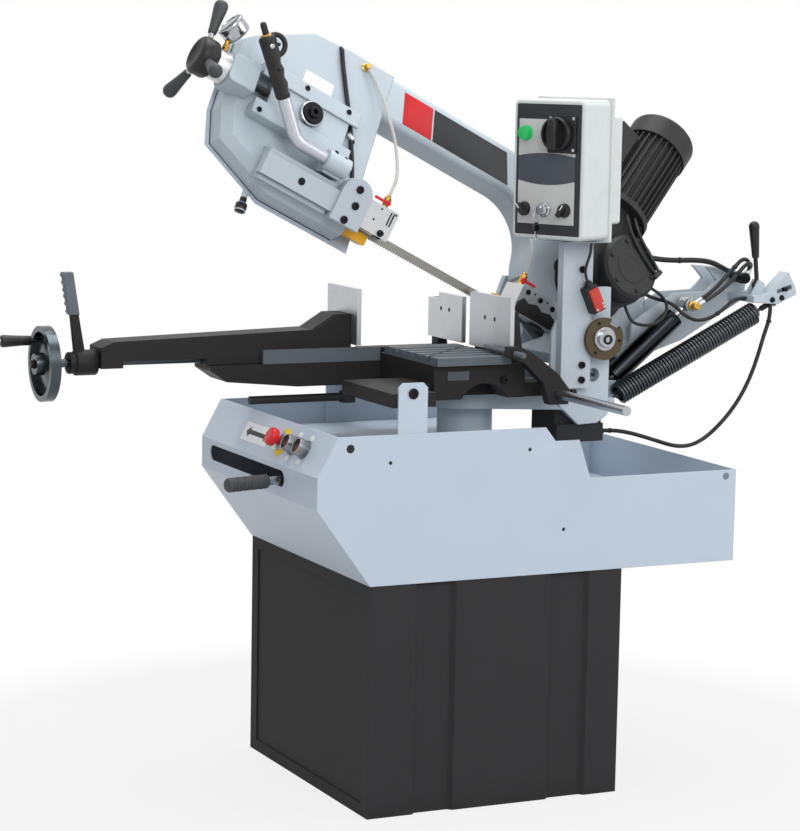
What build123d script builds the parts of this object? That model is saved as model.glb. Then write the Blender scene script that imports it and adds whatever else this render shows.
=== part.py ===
"""Metal cutting band saw: a mitre saw with a swinging bow on a cabinet and chip tray.

Frame: +X is the operator's right, +Y runs from the operator to the back, +Z is up.
The origin is the middle of the cabinet's footprint on the floor. Millimetres and degrees.

The bow is drawn in its cutting pose, with the blade level, and then raised about its pivot.
The wheels and their housings are drawn in the wheel frame: p runs along the bow to the back,
q runs up in the tilted wheel plane and n runs along the wheel axles to the operator's right.
"""
import os
from math import acos, atan2, cos, degrees, hypot, pi, radians, sin, tan

from build123d import *

# Clearances
RUN = 0.05          # radial running clearance of shafts in bores
SLIDE = 0.3         # gap between faces that slide
GAP = 0.3           # gap between pieces that only come close
TOUCH = 0.05        # gap between a cord's end and what it plugs into

# Cabinet
CABINET_X = 636.0
CABINET_Y = 590.0
CABINET_Z = 490.0
CABINET_SHEET = 3.0
CHANNEL_WIDTH = 94.0
CHANNEL_DEPTH = 9.0
CHANNEL_PLACES = (-145.0, 170.0)
CORNER_STRIP = 34.0
PANEL_EDGE = 26.0
PANEL_LAP = 12.0
PANEL_THICK = 2.0
DRAIN_R = 30.0
TANK_X, TANK_Y, TANK_Z = 400.0, 300.0, 230.0
TANK_WALL = 4.0
TANK_PLACE_Y = 90.0
PUMP_R = 55.0
PUMP_HIGH = 150.0

# Tray
TRAY_OVER = 2.0     # past the cabinet on each side
TRAY_SHEET = 3.0
TRAY_FRONT = -418.0
TRAY_SHOULDER = -374.0
TRAY_FOOT = -297.0
TRAY_BACK = 573.0
TRAY_HIGH = 312.0   # rim over the cabinet
TRAY_SLOPE = 82.0   # height of the sloping front
TRAY_FACE = 67.0    # height of the upright front
TRAY_STEP_DROP = 30.0
TRAY_REAR_DROP = 112.0
TRAY_STEPS = (102.0, 126.0, 183.0, 211.0)
DECK_DEEP = 64.0    # deck under the rim
DECK_END = 189.0
REAR_DEEP = 100.0   # rear tray's floor under its rim
SLOT_LEFT, SLOT_RIGHT = -270.0, 148.0
SLOT_DROP = 46.0    # lever slot under the deck
SLOT_HIGH = 34.0
WALL_HOLES = ((-346.0, 25.0, 9.0), (-256.0, 58.0, 4.0), (65.0, 45.0, 4.0),
              (150.0, 219.0, 4.0), (548.0, 126.0, 8.0))   # place, depth under the rim, radius
TAB_THICK = 5.0
TAB_WIDE = 66.0
TAB_RIGHT_Y = -206.0
TAB_LEFT_Y = -88.0
TAB_RISE = 54.0     # over the vise base's foot

# Controls on the sloping tray front
PANEL_HIGH = 0.5    # place up the slope
ESTOP_X = 85.0
BUTTON_X = (147.0, 205.0)
COLLAR_R = 22.0
COLLAR_HIGH = 12.0
ESTOP_STEM_R = 9.0
ESTOP_HEAD_R = 20.0
ESTOP_HEAD_HIGH = 18.0
ESTOP_TRAVEL = 5.0
RING_R = 18.0
RING_WALL = 3.0
RING_HIGH = 24.0
BUTTON_HIGH = 12.0
BUTTON_TRAVEL = 4.0

# Mitre pivot and turret
MITRE_Y = 72.0
MITRE_MAX = 45.0
COLUMN_R = 60.0
PIN_R = 30.0
STEM_R = 14.0
TURRET_UP = 77.0    # turret's underside over the deck
TURRET_PLATE = 33.0
TURRET_DISC_R = 105.0
CHEEK_OUT = 168.0
CHEEK_THICK = 18.0
CHEEK_AHEAD = 78.0  # cheek's front edge ahead of the bow pivot
CHEEK_BEHIND = 33.0
CHEEK_RISE = 108.0  # cheek's top over the bow pivot
CHEEK_DROP = 34.0   # cheek's foot under the turret plate
PEDESTAL_X = (45.0, 160.0)
PEDESTAL_IN = (10.0, 6.0)
GLAND_IN = 38.0
GLAND_OUT = 18.0
GLAND_DROP = 23.0
SPRING_BAR_OUT = 30.0
SPRING_BAR_UP = 8.0
SPRING_BAR_R = 10.0
LUG_THICK = 7.0
LUG_IN = (31.0, 80.0)
CROSS_DROP = 98.0   # cross wall's top under the bow pivot

# Vise base, table and jaws
BASE_GAP = 4.0      # base over the turret plate
BASE_HIGH = 73.0
BASE_LEFT, BASE_RIGHT = -195.0, 205.0
BASE_FRONT = -105.0
BASE_BEHIND = 38.0  # base behind the jaw faces
WING_HIGH = 32.0    # clears the front housing in a mitre cut
TABLE_THICK = 17.0
TABLE_LEFT, TABLE_RIGHT = -40.0, 222.0
SLIT = 5.0
SLIT_DEEP = 12.0
GROOVE_WIDE = 13.0
GROOVE_DEEP = 6.0
GROOVE_COUNT = 5
JAW_THICK = 10.0
JAW_GAP = 3.0
JAW_HIGH = 117.0
JAW_RIGHT = (15.0, 205.0)
JAW_LEFT = (-190.0, -22.0)
JAW_STEP = 14.0
JAW_DROP = 16.0     # the left jaw stands lower, clear of the bow in a mitre cut
VISE_X = -110.0
BED_HALF = 48.0
BED_DEEP = 17.0     # bed under the base's top
BED_THICK = 51.0
BED_FRONT = -500.0
BEAM_HALF = 38.0
BEAM_FRONT = -740.0
BEAM_HIGH = 66.0
SCREW_UP = 11.0     # screw over the bed
SCREW_R = 9.0
NUT_IN = 60.0
NUT_LONG = 40.0
VISE_OPEN = 233.0
VISE_LEFT = 8.0     # opening that is left when the vise is shut
VISE_LEAD = 10.0
MOVING_JAW_X = (-200.0, -42.0)
MOVING_JAW_RISE = 4.0
LOCK_AHEAD = 36.0   # lock lever ahead of the beam
LOCK_HUB = 26.0     # its hub ahead of the lever
LOCK_HUB_R = 27.0
LOCK_LONG = 172.0
LOCK_LEAN = 26.0
WHEEL_CLEAR = 26.0  # from the lock's hub to the wheel's hub
HANDWHEEL_HUB = 30.0
HANDWHEEL_R = 79.0
CRANK_AT = 58.0
CRANK_ANGLE = 52.0
CRANK_LONG = 66.0
CRANK_R = 13.0
SHIFT_X = -100.0
SHIFT_DROP = 31.0   # shift lever under the bed
SHIFT_R = 9.0
SHIFT_PIN_Y = -165.0
SHIFT_TIP_Y = -396.0
STOP_ROD_R = 10.0
STOP_ROD_BACK = 55.0
STOP_ROD_UP = 10.0
STOP_ROD_END = 543.0
STOP_X = 246.0

# Mitre lock lever
LEVER_OUT_X = 123.0
LEVER_OUT = 130.0   # grip's end ahead of the tray

# Bow pivot, tilt and blade
PIVOT_Y = 303.0
PIVOT_UP = 28.0     # bow pivot over the table
RAISE = 27.3
TILT = 20.0
BLADE_WIDE = 20.0
BLADE_THICK = 0.9
BLADE_REACH = 6.0   # teeth below the table top in the cutting pose
TWIST_START = 45.0
TOOTH_PITCH = 6.5
TOOTH_DEEP = 2.6
WHEEL_R = 150.0
WHEEL_WIDE = 24.0
WHEEL_GAP = 0.2
FRONT_P = -455.0
REAR_BACK = 27.0    # drive wheel behind the bow pivot
CAST_LEFT, CAST_BACK = -34.0, 30.0
CAVITY_GAP = 10.0
WEB = 14.0
COVER_THICK = 3.0
HOUSING_IN = 175.0  # front housing behind its wheel
ARM_LOW, ARM_TOP = 248.0, 353.0
ARM_EDGE = 16.0
ARM_BEND = 110.0    # where the arm's top starts to fall to the rear housing
THROAT_R = 112.0
HOUSING_WALL = 8.0  # rear housing round its wheel's well
SHAFT_R = 18.0
AXLE_R = 15.0
TENSION_TRAVEL = 6.0
TENSION_LEAD = 4.0
TENSION_N = 45.0
SLIDE_HALF = 38.0
SLIDE_REACH = 100.0
NOSE_OUT = 210.0    # tension block ahead of the front wheel
HUB_OUT = 240.0

# Guides, from the front housing's end and the bow pivot
FRONT_GUIDE_AT = (18.0, 90.0)
REAR_GUIDE_AT = (-157.0, -131.0)
GUIDE_HIGH = 64.0
GUIDE_BAR_X = (40.0, 66.0)
GUIDE_BAR_AT = (-245.0, -50.0)
GUIDE_BAR_DROP = 5.0
GUIDE_BAR_HIGH = 48.0
PLATE_AT = (-64.0, 8.0)
TAP_HIGH = 30.0
TAP_X = 16.0
FRONT_TAP_IN = 46.0
REAR_TAP_IN = 12.0

# Pull handle
BOSS_X, BOSS_UP = 62.0, 88.0
BOSS_AT = (-125.0, -70.0)
TUBE_R = 14.0
TUBE_BEND = 48.0
GRIP_OFF = (141.0, 65.0)
GRIP_LONG = 134.0
GRIP_R = 18.0
TRIGGER_OUT = 19.5
TRIGGER_STEM = 2.5

# Drive
GEAR_R = 78.0
GEAR_COVER_R = 72.0
GEAR_COVER_OUT = 160.0   # cover's face over the casting
WORM_OFFSET = -70.0
WORM_R = 52.0
MOTOR_N = 112.0
MOTOR_ANGLE = 72.6
MOTOR_R = 74.0
MOTOR_FLANGE_S = 112.0
MOTOR_BODY_S = (126.0, 318.0)
MOTOR_END_S = 378.0
MOTOR_FINS = 30

# Pivot shafts on the bow
BOSS_R = 38.0
PIVOT_R = 18.0
CAM_R = 46.0

# Tail, springs and cylinder: places behind and over the bow pivot, in the cutting pose
SPRING_X = (112.0, -102.0)
SPRING_R = 20.5
WIRE_R = 3.0
SPRING_HALF_TURNS = 81
SPRING_BEND = 8.0
SPRING_LEG = 14.0
EYE_AT = (382.0, 249.0)
CYL_X = 56.0
CYL_LOW_OFF = (24.0, 28.0)   # from the spring bar
CYL_PIN_AT = (236.0, 183.0)
BARREL_R = 24.0
BARREL_LONG = 227.0
ROD_R = 9.0
CYL_EYE_HALF = 16.0
PIN_PLAY = 4.0
TAIL_X = (-40.0, 28.0)   # both plates pass left of the cylinder
TAIL_PLATE = 8.0
TAIL_AT = ((143.0, 90.0), (209.0, 194.0), (283.0, 236.0), (296.0, 271.0), (257.0, 285.0), (324.0, 314.0),
           (369.0, 303.0), (379.0, 263.0), (278.0, 110.0), (181.0, 14.0))
CROSS_PLATE_AT = ((223.0, 67.0), (230.0, 61.0), (297.0, 157.0), (290.0, 162.0))
BEAM_AT = ((343.0, 247.0), (403.0, 273.0), (413.0, 292.0), (378.0, 287.0), (337.0, 261.0))
BEAM_END = 24.0
BRACKET_X = 100.0
END_BRACKET_AT = ((343.0, 247.0), (403.0, 273.0), (436.0, 314.0), (427.0, 326.0), (393.0, 348.0),
                  (370.0, 284.0), (337.0, 261.0))
BRACKET_SLOT_AT = ((384.0, 300.0), (390.0, 293.0), (420.0, 320.0), (413.0, 327.0))
EAR_AT = ((338.0, 261.0), (365.0, 279.0))
VALVE_X = (100.3, 115.7)
VALVE_AT = (349.0, 292.0)
VALVE_LEAN = (77.0, 119.0)
VALVE_R = 12.0
VALVE_LONG = 52.0
VALVE_BODY_AT = (333.0, 298.0)

# Control bracket and box
BRACKET_DEEP = 24.0
BRACKET_AT = (-21.0, 51.0)   # from the cheek's front edge
BOX_X, BOX_Y = 167.0, 224.0
BOX_UP = 255.0      # box's middle over the cheek
BOX_TURN = 26.0
COVER_HALF_X = 92.0
COVER_HALF_Z = 148.0
COVER_FRONT, COVER_REAR = -75.0, 28.0
BOX_REAR = 78.0
BOX_LEFT = 46.0     # the base leaves room for the motor on its left
BOX_WALL = 4.0
KNOB_HIGH = 76.0
KNOB_LOW = -84.0
LAMP_X = -58.0
LAMP_R = 16.0
MAIN_X = 28.0
MAIN_R = 33.0
SELECTOR_X = (-58.0, 46.0)
KEY_X = -6.0
SWITCH_AT = (-31.0, 87.0)    # from the bow pivot
SWITCH_LEAN = 24.0

# Cords: the tail cable from its gland, the bow's cables from the pivot, the hoses from their taps
TAIL_CABLE_R = 4.5
TAIL_CABLE_AT = ((60.0, -5.0), (98.0, -15.0), (142.0, -29.0), (187.0, -43.0), (227.0, -44.0), (264.0, -29.0),
                 (300.0, -1.0), (332.0, 32.0), (358.0, 68.0), (380.0, 110.0), (397.0, 157.0), (411.0, 204.0))
TAIL_CABLE_END = (424.0, 269.6)
SWITCH_WIRE_R = 3.0
SLACK_R = 4.0
SLACK_AT = ((98.0, 175.0, 162.0), (104.0, 211.0, 150.0), (104.0, 249.0, 152.0), (104.0, 280.0, 176.0),
            (104.0, 300.0, 208.0), (104.0, 314.0, 242.8), (104.0, 339.9, 254.0))
SUPPLY_R = 6.0
SUPPLY_AT = ((22.0, 137.0, 244.0), (34.0, 175.0, 261.0), (44.0, 213.0, 282.0), (50.0, 249.0, 296.0),
             (50.0, 285.0, 298.0))
LOOP_R = 3.5
LOOP_AT = ((94.0, 171.0, 156.0), (101.0, 171.0, 120.0), (101.0, 149.0, 92.0), (97.0, 117.0, 80.0))
HOSE_R = 3.5
FRONT_HOSE_AT = ((-65.0, -105.0, 306.0), (-45.0, -80.0, 275.0), (-25.0, -55.0, 240.0), (-6.0, -33.0, 205.0),
                 (8.0, -15.0, 169.0))
REAR_HOSE_AT = ((8.0, -5.0, 146.0), (-8.0, -12.0, 171.0), (-24.0, -21.0, 196.0))
FITTING_R = 6.0
FITTING_HIGH = 15.0
FRONT_FITTING = (103.0, 17.0)   # behind the front wheel, under the arm's top
REAR_FITTING = (210.0, 18.0)    # ahead of the rear wheel, under the arm's foot

# Places that follow from the sizes above, from the floor up
TRAY_X = CABINET_X + 2 * TRAY_OVER
TRAY_TOP = CABINET_Z + TRAY_HIGH
TRAY_FOLD = TRAY_TOP - TRAY_SLOPE
TRAY_LOW_FOLD = TRAY_FOLD - TRAY_FACE
TRAY_MID_TOP = TRAY_TOP - TRAY_STEP_DROP
TRAY_REAR_TOP = TRAY_TOP - TRAY_REAR_DROP
DECK_Z = TRAY_TOP - DECK_DEEP
REAR_FLOOR = TRAY_REAR_TOP - REAR_DEEP
SLOT_Z = DECK_Z - SLOT_DROP
LEVER_TIP_Y = TRAY_FRONT - LEVER_OUT
TURRET_Z = DECK_Z + TURRET_UP
BASE_LOW = TURRET_Z + TURRET_PLATE + BASE_GAP
BASE_TOP = BASE_LOW + BASE_HIGH
WING_TOP = BASE_LOW + WING_HIGH
TAB_TOP = BASE_LOW + TAB_RISE
TABLE_TOP = BASE_TOP + TABLE_THICK
JAW_FACE_Y = MITRE_Y
BASE_BACK = JAW_FACE_Y + BASE_BEHIND
JAW_LOW = TABLE_TOP + JAW_GAP
JAW_TOP = JAW_LOW + JAW_HIGH
MOVING_JAW_TOP = JAW_TOP + MOVING_JAW_RISE
BED_TOP = BASE_TOP - BED_DEEP
BED_LOW = BED_TOP - BED_THICK
BEAM_TOP = BED_TOP + BEAM_HIGH
SCREW_Z = BED_TOP + SCREW_UP
NUT_Y = (BED_FRONT + NUT_IN, BED_FRONT + NUT_IN + NUT_LONG)
VISE_TRAVEL = VISE_OPEN - VISE_LEFT
LOCK_Y = BEAM_FRONT - LOCK_AHEAD
WHEEL_Y = LOCK_Y - LOCK_HUB - WHEEL_CLEAR - HANDWHEEL_HUB
SHIFT_Z = BED_LOW - SHIFT_DROP
STOP_ROD_Y = BASE_BACK + STOP_ROD_BACK
STOP_ROD_Z = BASE_LOW + STOP_ROD_UP
PIVOT_Z = TABLE_TOP + PIVOT_UP
CHEEK_FRONT, CHEEK_BACK = PIVOT_Y - CHEEK_AHEAD, PIVOT_Y + CHEEK_BEHIND
CHEEK_TOP, CHEEK_LOW = PIVOT_Z + CHEEK_RISE, TURRET_Z - CHEEK_DROP
CROSS_TOP = PIVOT_Z - CROSS_DROP
PEDESTAL_Y = (CHEEK_FRONT - PEDESTAL_IN[0], CHEEK_BACK - PEDESTAL_IN[1])
SPRING_BAR_Y, SPRING_BAR_Z = CHEEK_BACK + SPRING_BAR_OUT, TURRET_Z + SPRING_BAR_UP
CYL_LOW_YZ = (SPRING_BAR_Y + CYL_LOW_OFF[0], SPRING_BAR_Z + CYL_LOW_OFF[1])
BRACKET_Y = (CHEEK_FRONT + BRACKET_AT[0], CHEEK_FRONT + BRACKET_AT[1])
BOX_Z = CHEEK_TOP + BOX_UP
BLADE_Z = TABLE_TOP - BLADE_REACH + BLADE_WIDE / 2
WHEEL_Q = WHEEL_R + WHEEL_GAP + BLADE_THICK / 2
REAR_WELL_R = WHEEL_R + CAVITY_GAP + 2
REAR_HOUSING_R = REAR_WELL_R + HOUSING_WALL
REAR_P = PIVOT_Y + REAR_BACK
HOUSING_END = FRONT_P + HOUSING_IN
SLIDE_P = (FRONT_P - SLIDE_REACH, FRONT_P + SLIDE_REACH)
NOSE_P, HUB_P = FRONT_P - NOSE_OUT, FRONT_P - HUB_OUT
FRONT_GUIDE_P = (HOUSING_END + FRONT_GUIDE_AT[0], HOUSING_END + FRONT_GUIDE_AT[1])
REAR_GUIDE_P = (PIVOT_Y + REAR_GUIDE_AT[0], PIVOT_Y + REAR_GUIDE_AT[1])
GUIDE_TOP = BLADE_Z + GUIDE_HIGH
GUIDE_BAR_Y = (HOUSING_END + GUIDE_BAR_AT[0], HOUSING_END + GUIDE_BAR_AT[1])
GUIDE_BAR_Z = (BLADE_Z - GUIDE_BAR_DROP, BLADE_Z - GUIDE_BAR_DROP + GUIDE_BAR_HIGH)
PLATE_Y = (HOUSING_END + PLATE_AT[0], HOUSING_END + PLATE_AT[1])
FRONT_TAP_Y, REAR_TAP_Y = FRONT_GUIDE_P[0] + FRONT_TAP_IN, REAR_GUIDE_P[0] + REAR_TAP_IN
BOSS_Y = (HOUSING_END + BOSS_AT[0], HOUSING_END + BOSS_AT[1])
BOSS_Z = BLADE_Z + BOSS_UP
GRIP_FROM = (BOSS_Y[0] - GRIP_OFF[0], BOSS_Z + GRIP_OFF[1])
GRIP_TO = (GRIP_FROM[0] - GRIP_LONG * 0.5 ** 0.5, GRIP_FROM[1] + GRIP_LONG * 0.5 ** 0.5)
FITTING_N = CAST_BACK + FITTING_HIGH


def from_pivot(points):
    """Places given behind and over the bow pivot, as (y, z) of the cutting pose."""
    return [(PIVOT_Y + y, PIVOT_Z + z) for y, z in points]


def from_place(y, z, points):
    """Places given as x and as distances from (y, z)."""
    return [(x, y + away, z + up) for x, away, up in points]


EYE_YZ, CYL_PIN_YZ, VALVE_YZ, VALVE_BODY_YZ, SWITCH_YZ = from_pivot(
    (EYE_AT, CYL_PIN_AT, VALVE_AT, VALVE_BODY_AT, SWITCH_AT))
MIN_Z = (Align.CENTER, Align.CENTER, Align.MIN)
UP = (0, 0, 1)

WHEEL_PLANE = Plane(origin=(0, 0, BLADE_Z), x_dir=(0, 1, 0),
                    z_dir=(cos(radians(TILT)), 0, sin(radians(TILT))))
RAISED = Pos(0, PIVOT_Y, PIVOT_Z) * Rot(-RAISE, 0, 0) * Pos(0, -PIVOT_Y, -PIVOT_Z)


def on_bow(shape):
    """Raise a piece that is drawn in the cutting pose."""
    return RAISED * shape


def on_wheels(shape):
    """Place a piece that is drawn in the wheel frame (p, q, n)."""
    return RAISED * (WHEEL_PLANE.location * shape)


def block(x0, x1, y0, y1, z0, z1):
    """A box between two corners."""
    return Pos((x0 + x1) / 2, (y0 + y1) / 2, (z0 + z1) / 2) * Box(x1 - x0, y1 - y0, z1 - z0)


def outline(points):
    """A flat face inside straight edges."""
    return make_face(Polyline(*points, close=True))


def prism_x(points, x0, x1):
    """A solid whose (y, z) outline runs along X."""
    plane = Plane(origin=(x0, 0, 0), x_dir=(0, 1, 0), z_dir=(1, 0, 0))
    return plane.location * extrude(outline(points), x1 - x0, dir=UP)


def prism_z(points, z0, z1):
    """A solid whose (x, y) outline runs along Z."""
    return Pos(0, 0, z0) * extrude(outline(points), z1 - z0, dir=UP)


def disc(x, y, z0, z1, radius):
    """A round bar along Z."""
    return Pos(x, y, z0) * Cylinder(radius, z1 - z0, align=MIN_Z)


def rod(start, end, radius):
    """A round bar between two points."""
    axis = Vector(*end) - Vector(*start)
    return Plane(origin=start, z_dir=axis).location * Cylinder(radius, axis.length, align=MIN_Z)


def taper(start, end, radius_start, radius_end):
    """A round bar that changes radius from end to end."""
    axis = Vector(*end) - Vector(*start)
    cone = Cone(radius_start, radius_end, axis.length, align=MIN_Z)
    return Plane(origin=start, z_dir=axis).location * cone


def along(start, end, distance):
    """The point a distance from start towards end."""
    axis = Vector(*end) - Vector(*start)
    return tuple(Vector(*start) + axis * (distance / axis.length))


def raised_point(y, z):
    """Where a cutting-pose point (y, z) lies when the bow is raised."""
    turn = radians(-RAISE)
    dy, dz = y - PIVOT_Y, z - PIVOT_Z
    return (PIVOT_Y + dy * cos(turn) - dz * sin(turn), PIVOT_Z + dy * sin(turn) + dz * cos(turn))


def lowered_point(y, z):
    """Where a point (y, z) of the raised bow lies in the cutting pose."""
    turn = radians(RAISE)
    dy, dz = y - PIVOT_Y, z - PIVOT_Z
    return (PIVOT_Y + dy * cos(turn) - dz * sin(turn), PIVOT_Z + dy * sin(turn) + dz * cos(turn))


def wheel_point(p, q, n):
    """A wheel-frame point in the cutting pose (x, y, z)."""
    turn = radians(TILT)
    return (-q * sin(turn) + n * cos(turn), p, BLADE_Z + q * cos(turn) + n * sin(turn))


# Cabinet

def cabinet_plan():
    """Footprint with the pressed channels in both side walls."""
    half_x, half_y = CABINET_X / 2, CABINET_Y / 2
    right = [(half_x, -half_y)]
    for place in CHANNEL_PLACES:
        low, high = place - CHANNEL_WIDTH / 2, place + CHANNEL_WIDTH / 2
        right += [(half_x, low), (half_x - CHANNEL_DEPTH, low + CHANNEL_DEPTH),
                  (half_x - CHANNEL_DEPTH, high - CHANNEL_DEPTH), (half_x, high)]
    right += [(half_x, half_y)]
    return outline(right + [(-x, y) for x, y in reversed(right)])


def make_cabinet():
    """Closed sheet box with a floor, a top with a drain hole and an opening at the front."""
    plan = cabinet_plan()
    inner = offset(plan, amount=-CABINET_SHEET, kind=Kind.INTERSECTION)
    box = extrude(plan, CABINET_Z, dir=UP)
    box -= Pos(0, 0, CABINET_SHEET) * extrude(inner, CABINET_Z - 2 * CABINET_SHEET, dir=UP)
    half = CABINET_X / 2 - CORNER_STRIP
    front = -CABINET_Y / 2
    box -= block(-half, half, front - 1, front + CABINET_SHEET, PANEL_EDGE, CABINET_Z - PANEL_EDGE)
    return box - disc(0, 0, CABINET_Z - CABINET_SHEET, CABINET_Z, DRAIN_R)


def make_cabinet_front_panel():
    """Plain panel set behind the front opening."""
    half = CABINET_X / 2 - CORNER_STRIP + PANEL_LAP
    front = -CABINET_Y / 2 + CABINET_SHEET
    return block(-half, half, front, front + PANEL_THICK, PANEL_EDGE - PANEL_LAP,
                 CABINET_Z - PANEL_EDGE + PANEL_LAP)


def make_coolant_unit():
    """Coolant tank on the cabinet floor, with its pump on the lid."""
    low = CABINET_SHEET
    half_x, half_y = TANK_X / 2, TANK_Y / 2
    tank = block(-half_x, half_x, TANK_PLACE_Y - half_y, TANK_PLACE_Y + half_y, low, low + TANK_Z)
    wall = TANK_WALL
    tank -= block(-half_x + wall, half_x - wall, TANK_PLACE_Y - half_y + wall,
                  TANK_PLACE_Y + half_y - wall, low + wall, low + TANK_Z - wall)
    pump = disc(-half_x / 2, TANK_PLACE_Y, low + TANK_Z, low + TANK_Z + PUMP_HIGH, PUMP_R)
    return Compound([tank.solid(), pump.solid()])


# Tray

def tray_profile():
    """Side outline of the tray (y, z)."""
    step1, step2, step3, step4 = TRAY_STEPS
    return [(TRAY_FOOT, CABINET_Z), (TRAY_BACK, CABINET_Z), (TRAY_BACK, TRAY_REAR_TOP),
            (step4, TRAY_REAR_TOP), (step3, TRAY_MID_TOP), (step2, TRAY_MID_TOP),
            (step1, TRAY_TOP), (TRAY_SHOULDER, TRAY_TOP), (TRAY_FRONT, TRAY_FOLD),
            (TRAY_FRONT, TRAY_LOW_FOLD)]


def make_tray():
    """Folded sheet tray: deck, low rear chip tray, sloping front and lever slot."""
    half, wall = TRAY_X / 2, TRAY_SHEET
    inside = half - wall
    shell = prism_x(tray_profile(), -half, half)
    inner_face = offset(outline(tray_profile()), amount=-wall, kind=Kind.INTERSECTION)
    plane = Plane(origin=(-inside, 0, 0), x_dir=(0, 1, 0), z_dir=(1, 0, 0))
    inner = plane.location * extrude(inner_face, 2 * inside, dir=UP)
    under = inner & block(-half, half, TRAY_FRONT, DECK_END, CABINET_Z, DECK_Z - wall)
    under += inner & block(-half, half, DECK_END - wall, TRAY_BACK, CABINET_Z, REAR_FLOOR - wall)
    above = inner & block(-half, half, TRAY_FRONT, DECK_END, DECK_Z, TRAY_TOP)
    above += block(-inside, inside, TRAY_SHOULDER + wall, DECK_END + wall, DECK_Z, TRAY_TOP + wall)
    rear = block(-inside, inside, DECK_END + wall, TRAY_BACK - wall, REAR_FLOOR, TRAY_TOP)
    shell = shell - under - above - rear
    slot_face = SlotOverall(SLOT_RIGHT - SLOT_LEFT, SLOT_HIGH)
    slot = extrude(slot_face, wall * 4, both=True)
    shell -= Pos((SLOT_LEFT + SLOT_RIGHT) / 2, TRAY_FRONT, SLOT_Z) * Rot(90, 0, 0) * slot
    for y, deep, radius in WALL_HOLES:
        z = TRAY_TOP - deep
        shell -= rod((inside - 1, y, z), (half + 1, y, z), radius)
    shell -= disc(0, MITRE_Y, DECK_Z - wall - 1, DECK_Z + 1, STEM_R + GAP)
    shell -= disc(0, 0, CABINET_Z - 1, CABINET_Z + wall + 1, DRAIN_R)
    return shell


def make_tray_brackets():
    """The two tabs that tie the vise base to the tray walls."""
    inside = TRAY_X / 2 - TRAY_SHEET
    tabs = []
    for side, y, top in ((1, TAB_RIGHT_Y, TAB_TOP), (-1, TAB_LEFT_Y, TAB_TOP - 14)):
        face = block(inside - TAB_THICK, inside, y - TAB_WIDE / 2, y + TAB_WIDE / 2, DECK_Z, top)
        face = chamfer(face.faces().sort_by(Axis.Z)[-1].edges().filter_by(Axis.X), TAB_THICK * 2)
        tabs.append(face if side > 0 else mirror(face, about=Plane.YZ))
    return Compound([tab.solid() for tab in tabs])


# Controls on the tray front

def panel_spot(x, high):
    """A place on the sloping front: its Z runs out of the panel."""
    run, rise = TRAY_SHOULDER - TRAY_FRONT, TRAY_TOP - TRAY_FOLD
    length = hypot(run, rise)
    middle_y = TRAY_FRONT + run * PANEL_HIGH
    middle_z = TRAY_FOLD + rise * PANEL_HIGH
    out_y, out_z = -rise / length, run / length
    plane = Plane(origin=(x, middle_y + out_y * high, middle_z + out_z * high), x_dir=(1, 0, 0),
                  z_dir=(0, out_y, out_z))
    return plane.location


def make_panel_collars():
    """Collar of the emergency stop and the two guard rings."""
    collar = Cylinder(COLLAR_R, COLLAR_HIGH, align=MIN_Z)
    collar -= Cylinder(ESTOP_STEM_R + GAP, COLLAR_HIGH, align=MIN_Z)
    pieces = [panel_spot(ESTOP_X, 0) * collar]
    for x in BUTTON_X:
        ring = Cylinder(RING_R, RING_HIGH, align=MIN_Z)
        ring -= Cylinder(RING_R - RING_WALL, RING_HIGH, align=MIN_Z)
        pieces.append(panel_spot(x, 0) * ring)
    return Compound([piece.solid() for piece in pieces])


def make_estop_button():
    """Mushroom head on its stem."""
    seat = COLLAR_HIGH + ESTOP_TRAVEL + 2
    stem = disc(0, 0, ESTOP_TRAVEL + 1, seat, ESTOP_STEM_R)
    head = disc(0, 0, seat, seat + ESTOP_HEAD_HIGH, ESTOP_HEAD_R)
    head = fillet(head.edges().group_by(Axis.Z)[-1], ESTOP_HEAD_HIGH / 3)
    return panel_spot(ESTOP_X, 0) * (stem + head)


def make_guarded_button(x):
    """Flat button inside its guard ring."""
    low = BUTTON_TRAVEL + 2
    radius = RING_R - RING_WALL - 0.2
    return panel_spot(x, 0) * disc(0, 0, low, low + BUTTON_HIGH, radius)


# Vise base, table and jaws

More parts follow.
